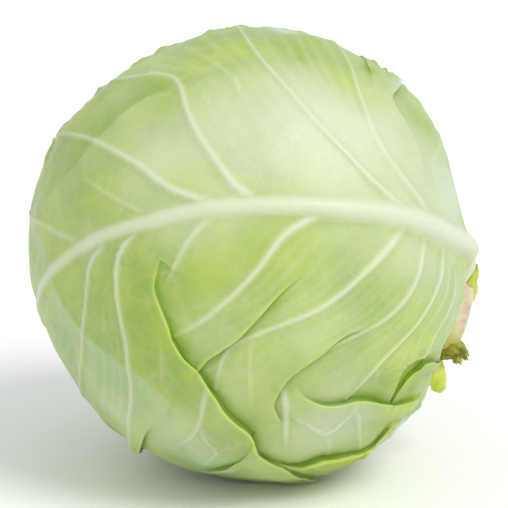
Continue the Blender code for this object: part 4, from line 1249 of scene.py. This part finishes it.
# Soft cloudy patches and finer flecks, as leaf tissue has: scale, detail and roughness of the
# noise, and where it starts and is full
mottling = {
    "Patches": (38.0, 4.0, 0.55, 0.32, 0.68),
    "Blotches": (125.0, 3.0, 0.55, 0.42, 0.66),
    "Warm": (62.0, 5.0, 0.62, 0.46, 0.70),
    "Flecks": (420.0, 2.0, 0.55, 0.45, 0.75),
}


def makeMottleGroup():
    group, _, out = nodeGroup("leafMottle", (), (*mottling, "Crinkles"))
    place = objectPlace(group)
    for name, (scale, detail, roughness, low, high) in mottling.items():
        cloud = noise(group, place, scale, detail, roughness)
        group.links.new(ramp(group, cloud, low, high), out.inputs[name])
    group.links.new(noise(group, place, 190.0, 2.0), out.inputs["Crinkles"])
    return group


def makeNetGroup():
    # The net of the finest veins, from the borders of warped cells at two sizes
    group, source, out = nodeGroup("veinNet", (("Cells", 100.0),), ("Net",))
    place = objectPlace(group)
    warp = group.nodes.new("ShaderNodeTexNoise")
    warp.inputs["Scale"].default_value = 60.0
    group.links.new(place, warp.inputs["Vector"])
    bend = group.nodes.new("ShaderNodeVectorMath")
    bend.operation = "MULTIPLY_ADD"
    bend.inputs[1].default_value = (0.006, 0.006, 0.006)
    group.links.new(warp.outputs["Color"], bend.inputs[0])
    group.links.new(place, bend.inputs[2])
    strands = []
    for finer, width, strength in ((1.0, 0.10, 1.0), (2.6, 0.12, 0.5)):
        cells = group.nodes.new("ShaderNodeTexVoronoi")
        cells.feature = "DISTANCE_TO_EDGE"
        group.links.new(bend.outputs["Vector"], cells.inputs["Vector"])
        group.links.new(maths(group, "MULTIPLY", source.outputs["Cells"], finer), cells.inputs["Scale"])
        line = ramp(group, cells.outputs["Distance"], width, 0.0)
        strands.append(maths(group, "MULTIPLY", line, strength))
    group.links.new(maths(group, "MAXIMUM", *strands), out.inputs["Net"])
    return group


def attribute(tree, name):
    node = tree.nodes.new("ShaderNodeAttribute")
    node.attribute_name = name
    return node.outputs["Fac"]


def coat(tree, colour, tone, mask, strength):
    # A colour with another laid over it, as strong as the mask says
    return mixColour(tree, maths(tree, "MULTIPLY", mask, strength), colour, tone)


def newMaterial(name):
    material = bpy.data.materials.new(name)
    material.use_nodes = True
    return material, material.node_tree, material.node_tree.nodes["Principled BSDF"]


def addBump(tree, shader, height, strength, distance):
    bump = tree.nodes.new("ShaderNodeBump")
    bump.inputs["Strength"].default_value = strength
    bump.inputs["Distance"].default_value = distance
    tree.links.new(height, bump.inputs["Height"])
    tree.links.new(bump.outputs["Normal"], shader.inputs["Normal"])


def addDepth(shader, weight, radius, scale):
    # Light goes a little way into the flesh
    shader.inputs["Subsurface Weight"].default_value = weight
    shader.inputs["Subsurface Radius"].default_value = radius
    shader.inputs["Subsurface Scale"].default_value = scale


def placeGroup(tree, group, **values):
    node = tree.nodes.new("ShaderNodeGroup")
    node.node_tree = group
    for name, value in values.items():
        node.inputs[name].default_value = value
    return node.outputs


leafLook = {
    "dark": (0.268, 0.385, 0.080),
    "mid": (0.395, 0.500, 0.130),
    "blotch": (0.250, 0.390, 0.040),
    "warm": (0.500, 0.550, 0.100),
    "pale": (0.580, 0.630, 0.430),
    "bloom": (0.450, 0.560, 0.370),
    "frost": (0.600, 0.700, 0.620),
    "vein": (0.640, 0.674, 0.515),
    "lime": (0.410, 0.520, 0.018),
    "margin": (0.560, 0.680, 0.020),
    "deep": (0.195, 0.335, 0.004),
    "lipHighlight": (0.500, 0.640, 0.140),
    "creaseShade": (0.145, 0.265, 0.004),
    "roughness": (0.36, 0.50),
    "cells": 95.0,
}

heartLook = {
    "colours": ((0.56, 0.64, 0.30), (0.46, 0.57, 0.20)),
    "roughness": 0.45,
    "patches": 60.0,
    "bump": 0.0004,
}

stemLook = {
    "skin": (0.67, 0.55, 0.43),
    "fibre": (0.72, 0.66, 0.52),
    "stain": (0.42, 0.26, 0.13),
    "green": (0.54, 0.55, 0.10),
    "face": (0.74, 0.70, 0.52),
    "pith": (0.66, 0.64, 0.42),
    "woody": (0.60, 0.52, 0.30),
    "roughness": 0.6,
}


def makeLeafMaterial(name, look, mottle, net):
    material, tree, shader = newMaterial(name)
    spots = placeGroup(tree, mottle)
    strands = placeGroup(tree, net, Cells=look["cells"])["Net"]
    colour = mixColour(tree, spots["Patches"], look["dark"], look["mid"])
    cloud = ramp(tree, noise(tree, objectPlace(tree), 22.0, 3.0), 0.25, 0.8)
    cloud = maths(tree, "MULTIPLY_ADD", cloud, 0.5)
    cloud.node.inputs[2].default_value = 0.72
    coats = (
        ("blotch", spots["Blotches"], 0.30),
        ("warm", spots["Warm"], 0.42),
        # pale tissue, and painted light on the facets that face the light
        ("pale", attribute(tree, "pale"), cloud),
        # waxy bloom, and painted sheen near the outline and on the lower-left facets
        ("bloom", attribute(tree, "bloom"), 0.55),
        ("lime", attribute(tree, "lime"), 0.85),
        # deeper green tissue, and painted shade in pockets, hollows and beside folds and ribs
        ("deep", attribute(tree, "deep"), 0.80),
        # painted shade beside the veins
        ("deep", attribute(tree, "beside"), 0.20),
        ("vein", strands, 0.05),
        ("bloom", spots["Flecks"], 0.10),
        ("vein", attribute(tree, "vein"), 0.92),
        # a paler margin along the leaf's edge, partly painted highlight in the lip's colour
        ("lipHighlight", attribute(tree, "rim"), 0.35),
        # whitish bloom and painted highlights
        ("frost", attribute(tree, "frost"), 0.90),
        ("margin", attribute(tree, "margin"), 0.90),
        # painted shade in the folds' creases
        ("creaseShade", attribute(tree, "creaseShade"), 0.85),
        # painted highlight on the folds' lips
        ("lipHighlight", attribute(tree, "lipHighlight"), 1.0),
    )
    for tone, mask, strength in coats:
        colour = coat(tree, colour, look[tone], mask, strength)
    tree.links.new(colour, shader.inputs["Base Color"])
    rough = maths(tree, "MULTIPLY_ADD", spots["Patches"], look["roughness"][1] - look["roughness"][0])
    rough.node.inputs[2].default_value = look["roughness"][0]
    tree.links.new(rough, shader.inputs["Roughness"])
    grain = noise(tree, objectPlace(tree), 1400.0, 2.0)
    relief = maths(tree, "MULTIPLY", grain, 0.30)
    for height, strength in ((strands, 0.12), (spots["Crinkles"], 1.6)):
        relief = maths(tree, "ADD", relief, maths(tree, "MULTIPLY", height, strength))
    addBump(tree, shader, relief, 0.45, 0.0005)
    addDepth(shader, 0.22, (0.7, 1.0, 0.35), 0.003)
    shader.inputs["Specular IOR Level"].default_value = 0.34
    shader.inputs["Sheen Weight"].default_value = 0.10
    shader.inputs["Sheen Roughness"].default_value = 0.45
    shader.inputs["Sheen Tint"].default_value = (0.80, 0.92, 0.95, 1.0)
    return material


def makeHeartMaterial(name, look):
    # Two tones mottled together, with a grainy surface
    material, tree, shader = newMaterial(name)
    place = objectPlace(tree)
    patches = ramp(tree, noise(tree, place, look["patches"], 5.0, 0.65), 0.35, 0.65)
    tree.links.new(mixColour(tree, patches, *look["colours"]), shader.inputs["Base Color"])
    shader.inputs["Roughness"].default_value = look["roughness"]
    addDepth(shader, 0.15, (1.0, 0.8, 0.4), 0.002)
    addBump(tree, shader, noise(tree, place, look["patches"] * 6, 4.0), 0.6, look["bump"])
    return material


def makeStemMaterial(name, look):
    # Fibrous skin that runs along the stalk, greener towards the head, and the sawn face
    material, tree, shader = newMaterial(name)
    grain = tree.nodes.new("ShaderNodeAttribute")
    grain.attribute_name = "grain"
    fibres = noise(tree, grain.outputs["Vector"], 900.0, 4.0, 0.6)
    blots = noise(tree, objectPlace(tree), 190.0, 4.0, 0.6)
    colour = mixColour(tree, ramp(tree, fibres, 0.35, 0.65), look["skin"], look["fibre"])
    colour = coat(tree, colour, look["stain"], ramp(tree, blots, 0.50, 0.72), 0.55)
    colour = coat(tree, colour, look["green"], attribute(tree, "green"), 0.75)
    colour = coat(tree, colour, look["stain"], attribute(tree, "scar"), 0.35)
    face = mixColour(tree, ramp(tree, blots, 0.40, 0.70), look["pith"], look["face"])
    face = coat(tree, face, look["woody"], attribute(tree, "woody"), 0.75)
    colour = mixColour(tree, attribute(tree, "cut"), colour, face)
    tree.links.new(colour, shader.inputs["Base Color"])
    shader.inputs["Roughness"].default_value = look["roughness"]
    addDepth(shader, 0.18, (1.0, 0.8, 0.5), 0.002)
    relief = maths(tree, "ADD", fibres, maths(tree, "MULTIPLY", blots, 0.5))
    addBump(tree, shader, relief, 0.5, 0.0004)
    return material


def makeFlapMaterial(look):
    # Three tones: the blade, its darker patches and its lighter edge
    material, tree, shader = newMaterial(look["node"])
    patches = noise(tree, objectPlace(tree), 260.0, 4.0, 0.6)
    grain = noise(tree, objectPlace(tree), 1500.0, 3.0)
    blade, dark, light = look["colours"]
    colour = mixColour(tree, ramp(tree, patches, 0.40, 0.62), blade, dark)
    colour = coat(tree, colour, light, attribute(tree, "edge"), 0.55)
    colour = coat(tree, colour, light, ramp(tree, grain, 0.5, 0.8), 0.3)
    tree.links.new(colour, shader.inputs["Base Color"])
    shader.inputs["Roughness"].default_value = look["roughness"]
    addDepth(shader, 0.20, (0.8, 1.0, 0.3), 0.002)
    relief = maths(tree, "ADD", patches, maths(tree, "MULTIPLY", grain, 0.4))
    addBump(tree, shader, relief, 0.6, 0.0004)
    return material


mottleGroup = makeMottleGroup()
netGroup = makeNetGroup()
leafMaterial = makeLeafMaterial("outerLeaf", leafLook, mottleGroup, netGroup)

leaves = [readyFrontLeaf(), *(readyOtherLeaf(look) for look in otherLeaves)]
leaves.reverse()
for index in range(len(leaves)):
    growLeaf(leaves, index, leafMaterial)

growStem(makeStemMaterial("stemFlesh", stemLook))
for look in flaps:
    growFlap(look, makeFlapMaterial(look))
heartMaterial = makeHeartMaterial("heartLeaf", heartLook)
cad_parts["heart"].data.materials.clear()
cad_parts["heart"].data.materials.append(heartMaterial)
print("pieces made")

# Floor, lights and camera
studio = {
    "floor": {"size": 6.0, "colour": (0.93, 0.93, 0.93), "roughness": 0.8},
    "sky": {"colour": (0.97, 0.99, 1.0), "strength": 0.76},
    # the way to each sun, its strength, its spread in degrees and its colour
    "suns": {
        "keyLight": ((0.55, -0.50, 0.85), 1.75, 30, (1.0, 0.99, 0.97)),
        "fillLight": ((-0.60, -0.80, 0.30), 0.40, 70, (0.97, 0.99, 1.0)),
    },
    "sensor": 36.0,
    "clipStart": 0.05,
}
floor = bpy.data.objects.new("floor", bpy.data.meshes.new("floor"))
bm = bmesh.new()
bmesh.ops.create_grid(bm, x_segments=2, y_segments=2, size=studio["floor"]["size"])
bm.to_mesh(floor.data)
bm.free()
bpy.context.scene.collection.objects.link(floor)
floorMaterial, _, shader = newMaterial("paleFloor")
shader.inputs["Base Color"].default_value = (*studio["floor"]["colour"], 1)
shader.inputs["Roughness"].default_value = studio["floor"]["roughness"]
floor.data.materials.append(floorMaterial)


def addSun(name, way, strength, spread, colour):
    lamp = bpy.data.lights.new(name, "SUN")
    lamp.energy = strength
    lamp.angle = math.radians(spread)
    lamp.color = colour
    sun = bpy.data.objects.new(name, lamp)
    sun.rotation_euler = Vector(way).to_track_quat("Z", "Y").to_euler()
    bpy.context.scene.collection.objects.link(sun)


for name, sun in studio["suns"].items():
    addSun(name, *sun)

world = bpy.data.worlds.new("studio")
world.use_nodes = True
background = world.node_tree.nodes["Background"]
background.inputs["Color"].default_value = (*studio["sky"]["colour"], 1)
background.inputs["Strength"].default_value = studio["sky"]["strength"]
bpy.context.scene.world = world
bpy.context.scene.view_settings.view_transform = "Standard"

camera = bpy.data.objects.new("camera", bpy.data.cameras.new("camera"))
camera.data.sensor_width = studio["sensor"]
camera.data.lens = studio["sensor"] * view["distance"] / (view["across"] * view["step"])
camera.data.clip_start = studio["clipStart"]
aside = (view["across"] / 2 - view["centre"][0]) * view["step"] * right
above = (view["centre"][1] - view["across"] / 2) * view["step"] * up
turned = Matrix((Vector(right), Vector(up), Vector(toward))).transposed().to_4x4()
spot = (view["distance"] * toward + aside + above) * mm + np.array((0, 0, head["centreHeight"] * mm))
turned.translation = Vector(spot)
camera.matrix_world = turned
bpy.context.scene.collection.objects.link(camera)
bpy.context.scene.camera = camera
print("lights and camera set")
